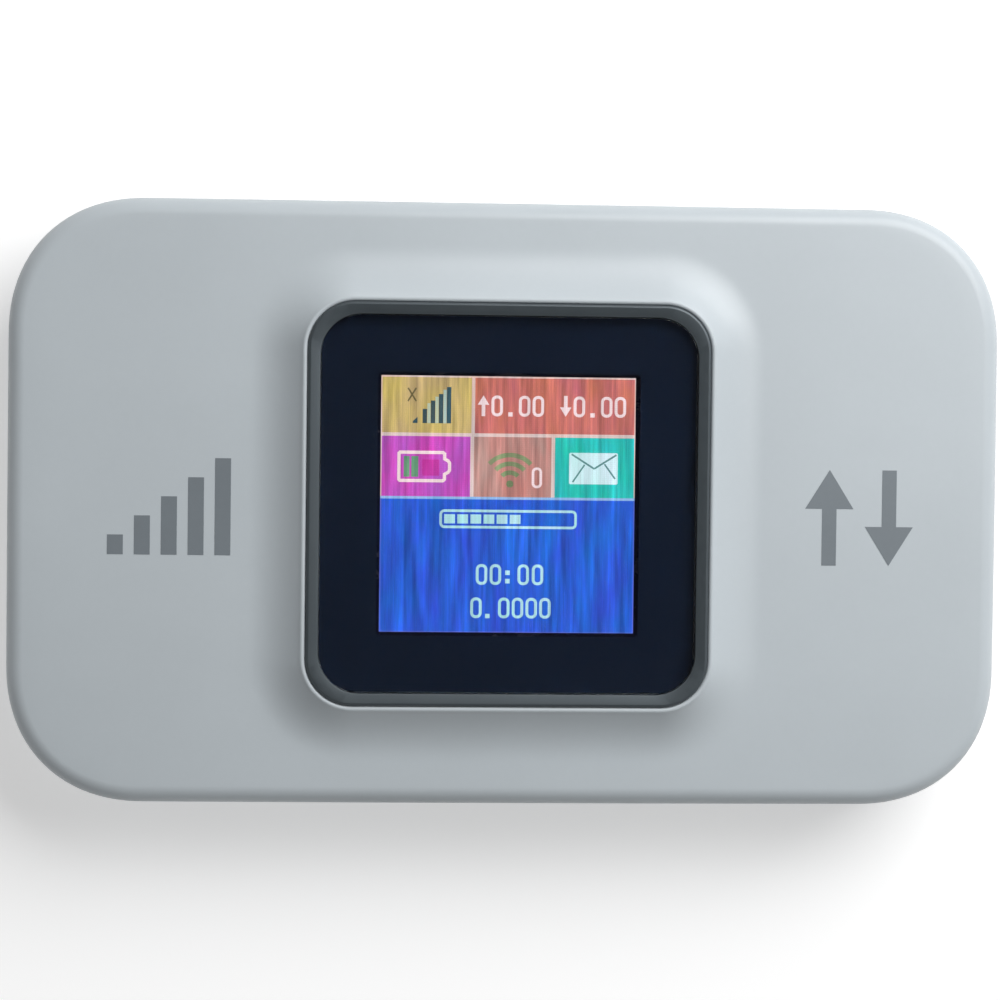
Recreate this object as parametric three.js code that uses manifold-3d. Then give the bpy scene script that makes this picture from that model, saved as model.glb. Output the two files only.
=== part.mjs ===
// A pocket mobile hotspot: a white clamshell body with a raised square display, a removable back cover,
// a battery in its bay, and the board, card holder, socket and switches between them.
// Millimetres. +Z points out of the display, +Y is the edge with the power button, +X is the right-hand end.
// The back cover rests on z = 0 and the origin is under the middle of the body.

import * as THREE from 'three';
import { mergeVertices } from 'three/addons/utils/BufferGeometryUtils.js';
import Module from 'manifold-3d';

const wasm = await Module();
wasm.setup();

// Body outline
const bodyWidth = 101.2;
const bodyDepth = 61.3;
const cornerReach = 14;
const cornerPowerShare = 2.2; // a power of 2 would be a circle
const faceRoll = 1.8; // radius over which the face turns into the sides
const backRoll = 4; // radius over which the back turns into the sides
const crownDropWidth = 0.6; // how far the face falls from its middle to the two ends
const crownDropDepth = 0.3; // how far it falls to the two long sides
const shellWall = 1.4;
const coverWall = 1.2;
const rimChamfer = 0.15;

// Clearances
const seatGap = 0.05; // under a piece that rests on another
const fitGap = 0.15; // round a piece that sits in a pocket
const slideGap = 0.2; // round a piece that moves
const seamGap = 0.15; // between the front shell's rim and the back cover's rim
const playGap = 0.3; // over and under the battery
const overrun = 1; // how far a cutting tool runs past what it cuts

// Display, from the lit area outwards
const activeSide = 25.86; // side of the lit square of a 1.44 inch panel
const maskMargin = 0.35;
const windowMargin = 0.9;
const windowReach = 0.8;
const lensSide = 38;
const lensReach = 3.4;
const ringBand = 1.2;
const ledgeThickness = 0.8;
const lipRadius = 0.3;
const lipBelowRing = 0.35;
const pedestalWidth = 5.3;
const pedestalRise = 1.95;
const pedestalPowerShare = 2.2; // how sharply the pedestal steepens towards the ring

// Thicknesses of the stack, from the back cover up to the ring
const batteryThickness = 5.2;
const plateThickness = 1;
const boardStandoff = 0.4;
const boardThickness = 1;
const shieldHeight = 1.25;
const foamThickness = 0.4;
const trayFloor = 1.1;
const glassThickness = 0.8;
const polariserThickness = 0.2;
const gasketThickness = 0.3;
const maskThickness = 0.1;
const lensThickness = 1.45;
const ringProud = 0.15;

// Levels of the stack
const coverFloorTop = coverWall;
const batteryBottom = coverFloorTop + playGap;
const batteryTop = batteryBottom + batteryThickness;
const plateBottom = batteryTop + playGap;
const plateTop = plateBottom + plateThickness;
const boardBottom = plateTop + boardStandoff;
const boardTop = boardBottom + boardThickness;
const shieldBottom = boardTop + seatGap;
const shieldTop = shieldBottom + shieldHeight;
const foamBottom = shieldTop + seatGap;
const foamTop = foamBottom + foamThickness;
const trayBottom = foamTop + seatGap;
const glassBottom = trayBottom + trayFloor + seatGap;
const glassTop = glassBottom + glassThickness;
const polariserBottom = glassTop + seatGap;
const polariserTop = polariserBottom + polariserThickness;
const ledgeBottom = polariserTop;
const ledgeTop = ledgeBottom + ledgeThickness;
const gasketBottom = ledgeTop + seatGap;
const gasketTop = gasketBottom + gasketThickness;
const maskBottom = gasketTop + seatGap;
const maskTop = maskBottom + maskThickness;
const lensBottom = maskTop + seatGap;
const lensTop = lensBottom + lensThickness;
const ringTop = lensTop + ringProud; // the body's full thickness
const lipTop = ringTop - lipBelowRing;
const faceMiddle = lipTop - pedestalRise;

// Snap tabs of the back cover, which set where the seam lies under the chassis plate
const tabRise = 1.3;
const seamLevel = plateBottom - tabRise - playGap;
const rimLevel = seamLevel + seamGap;

// Half sizes that several pieces share
const halfWidth = bodyWidth / 2;
const halfDepth = bodyDepth / 2;
const windowHalf = activeSide / 2 + windowMargin;
const maskHalf = activeSide / 2 + maskMargin;
const lensHalf = lensSide / 2;
const ringInnerHalf = lensHalf + fitGap;
const ringInnerReach = lensReach + fitGap;
const ringOuterHalf = ringInnerHalf + ringBand;
const ringOuterReach = ringInnerReach + ringBand;
const openingHalf = ringOuterHalf + fitGap;
const openingReach = ringOuterReach + fitGap;

// How many steps the outlines take round a corner and along the sides
const shellSteps = { corner: 8, long: 6, short: 3 };
const frameSteps = { corner: 8, long: 1, short: 1 };
const plainSteps = { corner: 5, long: 1, short: 1 };
const roundSides = 16;

// Finishes
function finish(color, roughness, metalness) {
  return new THREE.MeshStandardMaterial({ color, roughness, metalness });
}

const whitePlastic = finish(0xc3cbd0, 0.35, 0);
const greyPlastic = finish(0xc9ccce, 0.55, 0);
const blackPlastic = finish(0x16171a, 0.5, 0);
const gunmetal = finish(0x5a5d61, 0.28, 0.9);
const darkLens = finish(0x14161c, 0.06, 0);
const maskBlack = finish(0x08090b, 0.6, 0);
const foamBlack = finish(0x1d1e20, 0.95, 0);
const litPanel = finish(0x2f5ace, 0.3, 0);
const panelGlass = finish(0x8f9aa5, 0.12, 0);
const trayWhite = finish(0xe8e8e4, 0.6, 0);
const flexAmber = finish(0xb5702a, 0.4, 0);
const boardGreen = finish(0x1f5a3a, 0.5, 0);
const tinPlate = finish(0xb9bcbf, 0.35, 0.95);
const chipBlack = finish(0x232426, 0.6, 0);
const ferriteGrey = finish(0x4a4a4c, 0.75, 0.1);
const goldPlate = finish(0xc9a24a, 0.3, 1);
const steel = finish(0x9a9da1, 0.35, 1);
const cellSilver = finish(0x6f7479, 0.45, 0.4);
const carrierCream = finish(0xd9d2c2, 0.6, 0);

// A closed outline of a rounded rectangle as [x, y] pairs, counter-clockwise from the right-hand side.
const quadrants = [[1, 1], [-1, 1], [-1, -1], [1, -1]];

function roundedOutline(halfX, halfY, reach, powerShare, steps) {
  const points = [];
  quadrants.forEach(([signX, signY], quadrant) => {
    const odd = quadrant % 2 === 1;
    for (let i = 0; i <= steps.corner; i++) {
      const turned = odd ? 1 - i / steps.corner : i / steps.corner;
      const angle = turned * Math.PI / 2;
      const x = halfX - reach + reach * Math.cos(angle) ** (2 / powerShare);
      const y = halfY - reach + reach * Math.sin(angle) ** (2 / powerShare);
      points.push([signX * x, signY * y]);
    }
    const along = odd ? steps.short : steps.long;
    for (let i = 1; i < along; i++) {
      const share = 1 - 2 * i / along;
      if (odd) points.push([signX * halfX, signY * (halfY - reach) * share]);
      else points.push([signX * (halfX - reach) * share, signY * halfY]);
    }
  });
  return points;
}

// The body's own outline, moved inwards by an inset.
function bodyOutline(inset, steps) {
  return roundedOutline(halfWidth - inset, halfDepth - inset, cornerReach - inset, cornerPowerShare, steps);
}

// One level of a loft: an outline whose height may change from point to point.
function raised(outline, height) {
  return outline.map(([x, y]) => [x, y, typeof height === 'function' ? height(x, y) : height]);
}

function bodyLevel(inset, height) {
  return raised(bodyOutline(inset, shellSteps), height);
}

function squareLevel(half, reach, height, steps = frameSteps) {
  return raised(roundedOutline(half, half, reach, 2, steps), height);
}

// The skin through a row of levels. It closes on itself from the last level to the first, or ends in caps.
function loft(levels, looped) {
  const count = levels[0].length;
  const positions = levels.flat(2);
  const faces = [];
  const bands = looped ? levels.length : levels.length - 1;
  for (let i = 0; i < bands; i++) {
    const low = i * count;
    const high = ((i + 1) % levels.length) * count;
    for (let j = 0; j < count; j++) {
      const next = (j + 1) % count;
      faces.push(low + j, low + next, high + next);
      faces.push(low + j, high + next, high + j);
    }
  }
  if (!looped) {
    const ends = [levels[0], levels[levels.length - 1]];
    ends.forEach((points, end) => {
      const start = end === 0 ? 0 : (levels.length - 1) * count;
      const centre = positions.length / 3;
      for (let axis = 0; axis < 3; axis++) {
        positions.push(points.reduce((sum, point) => sum + point[axis], 0) / count);
      }
      for (let j = 0; j < count; j++) {
        const next = (j + 1) % count;
        if (end === 0) faces.push(centre, start + next, start + j);
        else faces.push(centre, start + j, start + next);
      }
    });
  }
  const geometry = new THREE.BufferGeometry();
  geometry.setAttribute('position', new THREE.Float32BufferAttribute(positions, 3));
  geometry.setIndex(faces);
  return geometry;
}

// A flat slab of an outline between two heights, with holes given as outlines.
function slab(outline, low, high, holes = []) {
  const shape = new THREE.Shape(outline.map(([x, y]) => new THREE.Vector2(x, y)));
  for (const hole of holes) {
    shape.holes.push(new THREE.Path(hole.map(([x, y]) => new THREE.Vector2(x, y))));
  }
  const geometry = new THREE.ExtrudeGeometry(shape, { depth: high - low, bevelEnabled: false });
  return geometry.translate(0, 0, low);
}

// A box from its lowest to its highest corner.
function block(lowX, highX, lowY, highY, lowZ, highZ) {
  const geometry = new THREE.BoxGeometry(highX - lowX, highY - lowY, highZ - lowZ);
  return geometry.translate((lowX + highX) / 2, (lowY + highY) / 2, (lowZ + highZ) / 2);
}

// A box with its middle at x and y, between two heights.
function blockAt(x, y, sizeX, sizeY, low, high) {
  return block(x - sizeX / 2, x + sizeX / 2, y - sizeY / 2, y + sizeY / 2, low, high);
}

// An upright round rod.
function rod(x, y, radius, low, high, sides = roundSides) {
  const geometry = new THREE.CylinderGeometry(radius, radius, high - low, sides);
  return geometry.rotateX(Math.PI / 2).translate(x, y, (low + high) / 2);
}

// Turns a shape drawn upright so that its height points along another direction.
const quarterTurn = Math.PI / 2;

function towardsPlusY(geometry) {
  return geometry.rotateX(-quarterTurn);
}

function towardsMinusY(geometry) {
  return geometry.rotateX(quarterTurn);
}

function towardsPlusX(geometry) {
  return geometry.rotateY(quarterTurn);
}

// Closed solids that can be joined and cut.
function solid(geometry) {
  const bare = geometry.clone();
  bare.deleteAttribute('normal');
  bare.deleteAttribute('uv');
  const merged = mergeVertices(bare);
  const mesh = new wasm.Mesh({
    numProp: 3,
    vertProperties: new Float32Array(merged.attributes.position.array),
    triVerts: new Uint32Array(merged.index.array),
  });
  return new wasm.Manifold(mesh);
}

function joined(geometries) {
  return geometries.map(solid).reduce((sum, piece) => sum.add(piece));
}

function cut(piece, geometries) {
  return geometries.map(solid).reduce((rest, tool) => rest.subtract(tool), piece);
}

function geometryOf(piece) {
  const { numProp, vertProperties, triVerts } = piece.getMesh();
  const positions = [];
  for (let i = 0; i < vertProperties.length; i += numProp) {
    positions.push(vertProperties[i], vertProperties[i + 1], vertProperties[i + 2]);
  }
  const geometry = new THREE.BufferGeometry();
  geometry.setAttribute('position', new THREE.Float32BufferAttribute(positions, 3));
  geometry.setIndex(Array.from(triVerts));
  return geometry;
}

// The assembly's groups: each is a part of the device as it comes apart on a bench, at the place given.
const hotspot = new THREE.Group();

function group(parent, [x, y, z] = [0, 0, 0]) {
  const part = new THREE.Group();
  part.position.set(x, y, z);
  parent.add(part);
  return part;
}

// Adds a named piece to a group. A piece that is drawn round its own middle is given its place there.
function place(parent, name, shape, material, [x, y, z] = [0, 0, 0]) {
  const geometry = shape.isBufferGeometry ? shape : geometryOf(shape);
  const mesh = new THREE.Mesh(geometry, material);
  mesh.name = name;
  mesh.position.set(x, y, z);
  parent.add(mesh);
}

// The four screws stand beside the battery bay and beside the card holder.
const screwInsetX = 7.3;
const screwInsetY = 11.35;
const screwShares = [[1, 1], [-1, 1], [-1, -1], [1, -1]];
const screwPlaces = screwShares.map(([shareX, shareY]) => [
  shareX * (halfWidth - screwInsetX),
  shareY * (halfDepth - screwInsetY),
]);
const screwShankRadius = 0.75;
const screwHeadRadius = 1.5;
const screwHeadHeight = 0.8;
const screwReachIntoBoss = 2;
const screwHoleRadius = screwShankRadius + slideGap;

// Socket in the middle of the long side away from the button
const socketHalfWidth = 3.8;
const socketHeight = 2.6;
const socketDepth = 5.2;
const socketWall = 0.3;
const socketChamfer = 0.9;
const socketRecess = 0.45; // how far its mouth lies behind the body's side
const socketSink = 0.55; // how far it is sunk into its notch in the board
const socketTop = boardBottom + socketSink;
const socketMiddle = socketTop - socketHeight / 2;
const socketFront = -halfDepth + socketRecess;
const socketBack = socketFront + socketDepth;
const socketMouthMargin = 0.3;

// Power button in the other long side
const buttonLength = 11.5;
const buttonHeight = 2.2;
const buttonFlangeMargin = 0.45;
const buttonFlangeThickness = 0.8;
const buttonRoom = 0.65; // between the back cover's lip and the button
const buttonTravel = 0.4;
const buttonPlaceShare = 0.52; // of the half width, from the middle
const buttonX = buttonPlaceShare * halfWidth;
const dishDepth = 0.5;
const dishMargin = 3.4; // how far the finger dish runs past the button's ends
const dishHeight = 4;
const dishSides = 24;

// Lip of the back cover, behind the front shell's rim
const lipHeight = 0.6;
const lipWall = 0.7;
const lipInset = shellWall + fitGap;
const buttonLevel = seamLevel + lipHeight + buttonRoom + buttonHeight / 2;
const wallInnerY = halfDepth - shellWall;
const flangeOuterY = wallInnerY - seatGap;
const flangeInnerY = flangeOuterY - buttonFlangeThickness;

// Height of the gently crowned face over any point of the body.
function face(x, y) {
  return faceMiddle - crownDropWidth * (x / halfWidth) ** 2 - crownDropDepth * (y / halfDepth) ** 2;
}

// The front shell's skin. Outside it rises from the rim, rolls over into the crowned face and climbs the
// concave pedestal to a thin round lip. Inside it falls past the ledge and the window and returns under the
// wall.
const rollSteps = 6;
const innerRollSteps = 3;
const faceSteps = 3;
const pedestalSteps = 6;
const lipSteps = 4;
const lipStartAngle = 25 * Math.PI / 180;
const footReach = 9.8;
const undersideMargin = 1.7;
const undersideSlope = 2.4;

function between(low, high, share) {
  return low + (high - low) * share;
}

function frontShellSkin() {
  const levels = [
    bodyLevel(rimChamfer, rimLevel),
    bodyLevel(0, rimLevel + rimChamfer),
  ];
  for (let i = 0; i <= rollSteps; i++) {
    const angle = quarterTurn * i / rollSteps;
    const drop = faceRoll * (1 - Math.sin(angle));
    levels.push(bodyLevel(faceRoll * (1 - Math.cos(angle)), (x, y) => face(x, y) - drop));
  }
  const lipOuter = openingHalf + lipRadius * (1 + Math.cos(lipStartAngle));
  const lipOuterReach = openingReach + lipOuter - openingHalf;
  const lipEdge = lipTop - lipRadius * (1 - Math.sin(lipStartAngle));
  const foot = lipOuter + pedestalWidth;
  for (let i = 1; i < faceSteps; i++) {
    const share = i / faceSteps;
    const halfX = between(halfWidth - faceRoll, foot, share);
    const halfY = between(halfDepth - faceRoll, foot, share);
    const reach = between(cornerReach - faceRoll, footReach, share);
    levels.push(raised(roundedOutline(halfX, halfY, reach, cornerPowerShare, shellSteps), face));
  }
  for (let i = pedestalSteps; i >= 1; i--) {
    const share = i / pedestalSteps;
    const half = between(lipOuter, foot, share);
    const reach = between(lipOuterReach, footReach, share);
    const climb = (1 - share) ** pedestalPowerShare;
    const height = (x, y) => between(face(x, y), lipEdge, climb);
    levels.push(raised(roundedOutline(half, half, reach, 2, shellSteps), height));
  }
  for (let i = 0; i <= lipSteps; i++) {
    const angle = between(lipStartAngle, Math.PI, i / lipSteps);
    const outwards = lipRadius * (1 + Math.cos(angle));
    const height = lipTop - lipRadius * (1 - Math.sin(angle));
    levels.push(squareLevel(openingHalf + outwards, openingReach + outwards, height, shellSteps));
  }
  levels.push(squareLevel(openingHalf, openingReach, ledgeTop, shellSteps));
  levels.push(squareLevel(windowHalf, windowReach, ledgeTop, shellSteps));
  levels.push(squareLevel(windowHalf, windowReach, ledgeBottom, shellSteps));
  const underHalf = openingHalf + undersideMargin;
  const underReach = openingReach + undersideMargin;
  levels.push(squareLevel(underHalf, underReach, ledgeBottom, shellSteps));
  const underFace = (x, y) => face(x, y) - shellWall;
  const slopeHalf = underHalf + undersideSlope;
  levels.push(squareLevel(slopeHalf, underReach + undersideSlope, underFace, shellSteps));
  const innerRoll = faceRoll - shellWall;
  for (let i = innerRollSteps; i >= 0; i--) {
    const angle = quarterTurn * i / innerRollSteps;
    const inset = shellWall + innerRoll * (1 - Math.cos(angle));
    const drop = faceRoll - innerRoll * Math.sin(angle);
    levels.push(bodyLevel(inset, (x, y) => face(x, y) - drop));
  }
  levels.push(bodyLevel(shellWall, rimLevel));
  return loft(levels, true);
}

// The panel sits in a tray, and a fence under the front shell's ledge holds the tray.
const glassSideMargin = 1.3;
const glassTopMargin = 1.9;
const glassDriverMargin = 5.1; // the strip below the lit area that carries the driver
const trayWall = 0.8;
const fenceWall = 0.8;
const fenceDepth = 2;
const flexWidth = 9;
const glassHalfWidth = activeSide / 2 + glassSideMargin;
const glassHighY = activeSide / 2 + glassTopMargin;
const glassLowY = -activeSide / 2 - glassDriverMargin;
const trayHalfWidth = glassHalfWidth + fitGap + trayWall;
const trayHighY = glassHighY + fitGap + trayWall;
const trayLowY = glassLowY - fitGap - trayWall;

function rectangle(halfX, lowY, highY) {
  return [[-halfX, lowY], [halfX, lowY], [halfX, highY], [-halfX, highY]];
}

// Bosses, ribs and the fence grow out of the front shell's underside, so they start inside its wall.
const bossRadius = 2.2;
const ribThickness = 0.8;
const ribDepth = 0.9;
const ribShares = [-0.62, 0.62];
const ribLengthShare = 0.6;

function frontShell() {
  const inWall = (x, y) => face(x, y) - shellWall / 2;
  const fenceOuter = rectangle(
    trayHalfWidth + fitGap + fenceWall, trayLowY - fitGap - fenceWall, trayHighY + fitGap + fenceWall);
  const fenceInner = rectangle(trayHalfWidth + fitGap, trayLowY - fitGap, trayHighY + fitGap);
  const fenceTop = ledgeBottom + ledgeThickness / 2;
  const growths = [slab(fenceOuter, ledgeBottom - fenceDepth, fenceTop, [fenceInner])];
  for (const [x, y] of screwPlaces) growths.push(rod(x, y, bossRadius, boardTop + seatGap, inWall(x, y)));
  for (const share of ribShares) {
    const x = share * halfWidth;
    const length = ribLengthShare * bodyDepth;
    const low = face(x, 0) - shellWall - ribDepth;
    growths.push(blockAt(x, 0, ribThickness, length, low, inWall(x, length / 2)));
  }
  const flexNotch = block(
    -flexWidth / 2 - slideGap, flexWidth / 2 + slideGap,
    trayLowY - fitGap - fenceWall - overrun, trayLowY + fenceWall,
    ledgeBottom - fenceDepth - overrun, ledgeBottom);
  const cuts = [flexNotch];
  for (const [x, y] of screwPlaces) {
    cuts.push(rod(x, y, screwHoleRadius, boardTop - overrun, boardTop + screwReachIntoBoss + fitGap));
  }
  const mouth = roundedOutline(
    socketHalfWidth + socketMouthMargin, socketHeight / 2 + socketMouthMargin,
    socketChamfer, 2, plainSteps);
  const mouthTool = slab(mouth, wallInnerY - overrun, halfDepth + overrun);
  cuts.push(towardsMinusY(mouthTool).translate(0, 0, socketMiddle));
  const buttonHole = buttonOutline(slideGap);
  const buttonTool = slab(buttonHole, wallInnerY - overrun, halfDepth + overrun);
  cuts.push(towardsPlusY(buttonTool).translate(buttonX, 0, buttonLevel));
  const dish = new THREE.SphereGeometry(1, dishSides, dishSides / 2);
  dish.scale(buttonLength / 2 + dishMargin, dishDepth, dishHeight / 2);
  cuts.push(dish.translate(buttonX, halfDepth, buttonLevel));
  const skin = solid(frontShellSkin());
  const grown = growths.map(solid).reduce((sum, piece) => sum.add(piece), skin);
  return cut(grown, cuts);
}

// The pill shape of the button, or of the hole round it when it is grown by a margin.
const buttonEndShare = 0.96; // of the half height: how round the ends are

function buttonOutline(margin) {
  const halfHeight = buttonHeight / 2 + margin;
  return roundedOutline(buttonLength / 2 + margin, halfHeight, halfHeight * buttonEndShare, 2, plainSteps);
}

const buttonEdge = 0.25;
const buttonNub = 0.25;
const buttonNubWidth = 3;

// The flange keeps the button in. It runs past the ends and the top, but not down to the back cover's lip.
function buttonFlange() {
  const halfHeight = (buttonHeight + buttonFlangeMargin) / 2;
  const halfLength = buttonLength / 2 + buttonFlangeMargin;
  const outline = roundedOutline(halfLength, halfHeight, halfHeight * buttonEndShare, 2, plainSteps);
  return slab(outline, flangeInnerY, flangeOuterY).translate(0, -buttonFlangeMargin / 2, 0);
}

function powerButton() {
  const cap = loft([
    raised(buttonOutline(0), flangeInnerY + buttonFlangeThickness / 2),
    raised(buttonOutline(0), halfDepth - buttonEdge),
    raised(buttonOutline(-buttonEdge / 3), halfDepth - buttonEdge / 3),
    raised(buttonOutline(-buttonEdge), halfDepth),
  ], false);
  const nub = blockAt(0, 0, buttonNubWidth, buttonHeight / 2, flangeInnerY - buttonNub, flangeOuterY);
  return joined([cap, buttonFlange(), nub].map(towardsPlusY));
}

// The side-push switch hangs under the board's edge, behind the button.
const switchWidth = 6;
const switchDepth = 2.7;
const switchHeight = 1.6;
const plungerWidth = 2.4;
const plungerHeight = 0.5;
const plungerInside = 0.9;
const plungerOuterY = flangeInnerY - buttonNub - seatGap;
const switchFrontY = flangeInnerY - buttonNub - buttonTravel - slideGap;
const switchTop = boardBottom - seatGap;

function powerSwitchBody() {
  const body = block(
    buttonX - switchWidth / 2, buttonX + switchWidth / 2,
    switchFrontY - switchDepth, switchFrontY, switchTop - switchHeight, switchTop);
  const slotWidth = plungerWidth + 2 * slideGap;
  const slotHeight = plungerHeight + 2 * slideGap;
  const slot = block(
    buttonX - slotWidth / 2, buttonX + slotWidth / 2,
    switchFrontY - plungerInside - buttonTravel - slideGap, switchFrontY + overrun,
    buttonLevel - slotHeight / 2, buttonLevel + slotHeight / 2);
  return cut(solid(body), [slot]);
}

function powerSwitchPlunger() {
  return block(
    buttonX - plungerWidth / 2, buttonX + plungerWidth / 2,
    switchFrontY - plungerInside, plungerOuterY,
    buttonLevel - plungerHeight / 2, buttonLevel + plungerHeight / 2);
}

// Display trim, lens and what lies under it
const ringBevel = 0.3;
const ringInnerDrop = 0.12;
const lensEdge = 0.2;
const gasketInset = 0.3;
const gasketBand = 3.6;

function bezelRing() {
  const bottom = ledgeTop + seatGap;
  return loft([
    squareLevel(ringOuterHalf, ringOuterReach, bottom),
    squareLevel(ringOuterHalf, ringOuterReach, ringTop - ringBevel),
    squareLevel(ringOuterHalf - ringBevel / 3, ringOuterReach - ringBevel / 3, ringTop - ringBevel / 3),
    squareLevel(ringOuterHalf - ringBevel, ringOuterReach - ringBevel, ringTop),
    squareLevel(ringInnerHalf, ringInnerReach, ringTop - ringInnerDrop),
    squareLevel(ringInnerHalf, ringInnerReach, bottom),
  ], true);
}

function displayLens() {
  return loft([
    squareLevel(lensHalf, lensReach, lensBottom),
    squareLevel(lensHalf, lensReach, lensTop - lensEdge),
    squareLevel(lensHalf - lensEdge, lensReach - lensEdge, lensTop),
  ], false);
}

function squareFrame(outerHalf, outerReach, innerHalf, innerReach, low, high) {
  const outer = roundedOutline(outerHalf, outerHalf, outerReach, 2, plainSteps);
  const inner = roundedOutline(innerHalf, innerHalf, innerReach, 2, plainSteps);
  return slab(outer, low, high, [inner]);
}

function lensMask() {
  const outer = lensHalf - seatGap;
  return squareFrame(outer, lensReach, maskHalf, windowReach / 2, maskBottom, maskTop);
}

function lensGasket() {
  const outer = lensHalf - gasketInset;
  const inner = outer - gasketBand;
  return squareFrame(outer, lensReach - gasketInset, inner, windowReach, gasketBottom, gasketTop);
}

function lcdPolariser() {
  const half = windowHalf - fitGap;
  return slab(roundedOutline(half, half, windowReach - fitGap, 2, plainSteps), polariserBottom, polariserTop);
}

// The glass is two sheets: the upper one stops short of the driver strip.
const driverStrip = 2.6;

function lcdGlass() {
  const sheet = glassThickness / 2;
  const lower = block(-glassHalfWidth, glassHalfWidth, glassLowY, glassHighY, glassBottom, glassTop - sheet);
  const upper = block(
    -glassHalfWidth, glassHalfWidth, glassLowY + driverStrip, glassHighY, glassBottom + sheet / 2, glassTop);
  return joined([lower, upper]);
}

const trayRim = 0.5; // how far the tray's rim stands up beside the glass
const flexThickness = 0.2;
const flexBend = 1.25;
const flexEnd = 1.3; // length of the flex's lower end, up to the connector's slot

function lcdTray() {
  const body = block(
    -trayHalfWidth, trayHalfWidth, trayLowY, trayHighY, trayBottom, glassBottom + trayRim);
  const pocket = block(
    -glassHalfWidth - fitGap, glassHalfWidth + fitGap, glassLowY - fitGap, glassHighY + fitGap,
    glassBottom - seatGap, glassBottom + trayRim + overrun);
  const flexWay = block(
    -flexWidth / 2 - slideGap, flexWidth / 2 + slideGap, trayLowY - overrun, glassLowY,
    glassBottom - seatGap, glassBottom + trayRim + overrun);
  return cut(solid(body), [pocket, flexWay]);
}

// The ribbon leaves the glass, turns back under the panel and ends in the slot of its connector.
const flexLevel = glassBottom + glassThickness / 2;
const flexLowLevel = flexLevel - 2 * flexBend;
const flexTurnY = trayLowY - fitGap - fenceWall - playGap;
const flexEndY = flexTurnY + flexEnd;
const flexSteps = 12;

function lcdFlex() {
  const points = [];
  const startY = glassLowY - seatGap;
  const outerBend = flexBend + flexThickness / 2;
  const innerBend = flexBend - flexThickness / 2;
  const middle = flexLevel - flexBend;
  points.push([startY, flexLevel + flexThickness / 2]);
  for (let i = 0; i <= flexSteps; i++) {
    const angle = quarterTurn + Math.PI * i / flexSteps;
    points.push([flexTurnY + outerBend * Math.cos(angle), middle + outerBend * Math.sin(angle)]);
  }
  points.push([flexEndY, flexLowLevel - flexThickness / 2]);
  points.push([flexEndY, flexLowLevel + flexThickness / 2]);
  for (let i = flexSteps; i >= 0; i--) {
    const angle = quarterTurn + Math.PI * i / flexSteps;
    points.push([flexTurnY + innerBend * Math.cos(angle), middle + innerBend * Math.sin(angle)]);
  }
  points.push([startY, flexLevel - flexThickness / 2]);
  const outline = points.map(([y, z]) => [-z, y]);
  return towardsPlusX(slab(outline, -flexWidth / 2, flexWidth / 2));
}

const connectorWidth = 11;
const connectorLength = 3.6;
const connectorHeight = 1.4;
const connectorFrontY = flexEndY - playGap * 2;

function lcdConnector() {
  const body = blockAt(
    0, connectorFrontY + connectorLength / 2, connectorWidth, connectorLength,
    boardTop + seatGap, boardTop + seatGap + connectorHeight);
  const slot = block(
    -flexWidth / 2 - fitGap, flexWidth / 2 + fitGap, connectorFrontY - overrun, flexEndY + fitGap,
    flexLowLevel - flexThickness / 2 - fitGap, flexLowLevel + flexThickness / 2 + fitGap);
  return cut(solid(body), [slot]);
}

const foamSide = 21;
const foamPlaceShares = [-0.07, 0.08]; // of the half width and half depth

function lcdFoam() {
  const x = foamPlaceShares[0] * halfWidth;
  const y = foamPlaceShares[1] * halfDepth;
  return blockAt(x, y, foamSide, foamSide, foamBottom, foamTop);
}

// Board and what is soldered to its upper side
const boardInset = 2.4;
const boardHalfWidth = halfWidth - boardInset;
const boardHalfDepth = halfDepth - boardInset;
const notchMargin = 0.4;

// Space round the socket and round the button with its switch, for the board and the chassis plate.
function socketNotch(low, high) {
  const half = socketHalfWidth + notchMargin;
  return block(-half, half, -halfDepth, socketBack + notchMargin, low - overrun, high + overrun);
}

function buttonNotch(innerY, low, high) {
  const half = buttonLength / 2 + buttonFlangeMargin + notchMargin;
  return block(buttonX - half, buttonX + half, innerY, halfDepth, low - overrun, high + overrun);
}

function mainBoard() {
  const board = solid(slab(bodyOutline(boardInset, plainSteps), boardBottom, boardTop));
  const holes = screwPlaces.map(([x, y]) => rod(
    x, y, screwHoleRadius, boardBottom - overrun, boardTop + overrun));
  const flangeSpace = flangeInnerY - buttonTravel - slideGap;
  return cut(board, [
    ...holes, socketNotch(boardBottom, boardTop), buttonNotch(flangeSpace, boardBottom, boardTop),
  ]);
}

// The three shield cans divide the board between them, so each one's corners are shares of its half sizes.
const canWall = 0.2;
const cans = [
  { name: 'modem_shield', lowShares: [-0.56, -0.37], highShares: [0.18, 0.59] },
  { name: 'radio_shield', lowShares: [0.25, -0.07], highShares: [0.75, 0.61] },
  { name: 'power_shield', lowShares: [0.31, -0.76], highShares: [0.73, -0.23] },
];

// A soldered metal can, open underneath.
function shieldCan({ lowShares, highShares }) {
  const width = (highShares[0] - lowShares[0]) * boardHalfWidth;
  const depth = (highShares[1] - lowShares[1]) * boardHalfDepth;
  const outer = blockAt(0, 0, width, depth, 0, shieldHeight);
  const inner = blockAt(0, 0, width - 2 * canWall, depth - 2 * canWall, -overrun, shieldHeight - canWall);
  return cut(solid(outer), [inner]);
}

// A place on the board's upper side, as shares of the board's half width and half depth.
function onBoard([shareX, shareY]) {
  return [shareX * boardHalfWidth, shareY * boardHalfDepth, boardTop + seatGap];
}

const chipSide = 7;
const chipHeight = 0.85;
const chipPlaceShares = [-0.74, -0.3];
const coilSide = 4;
const coilHeight = 1.7;
const coilPlaceShares = [-0.42, -0.7];

function wifiChip() {
  return blockAt(0, 0, chipSide, chipSide, 0, chipHeight);
}

function powerInductor() {
  return slab(roundedOutline(coilSide / 2, coilSide / 2, coilSide / 4, 2, plainSteps), 0, coilHeight);
}

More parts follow.
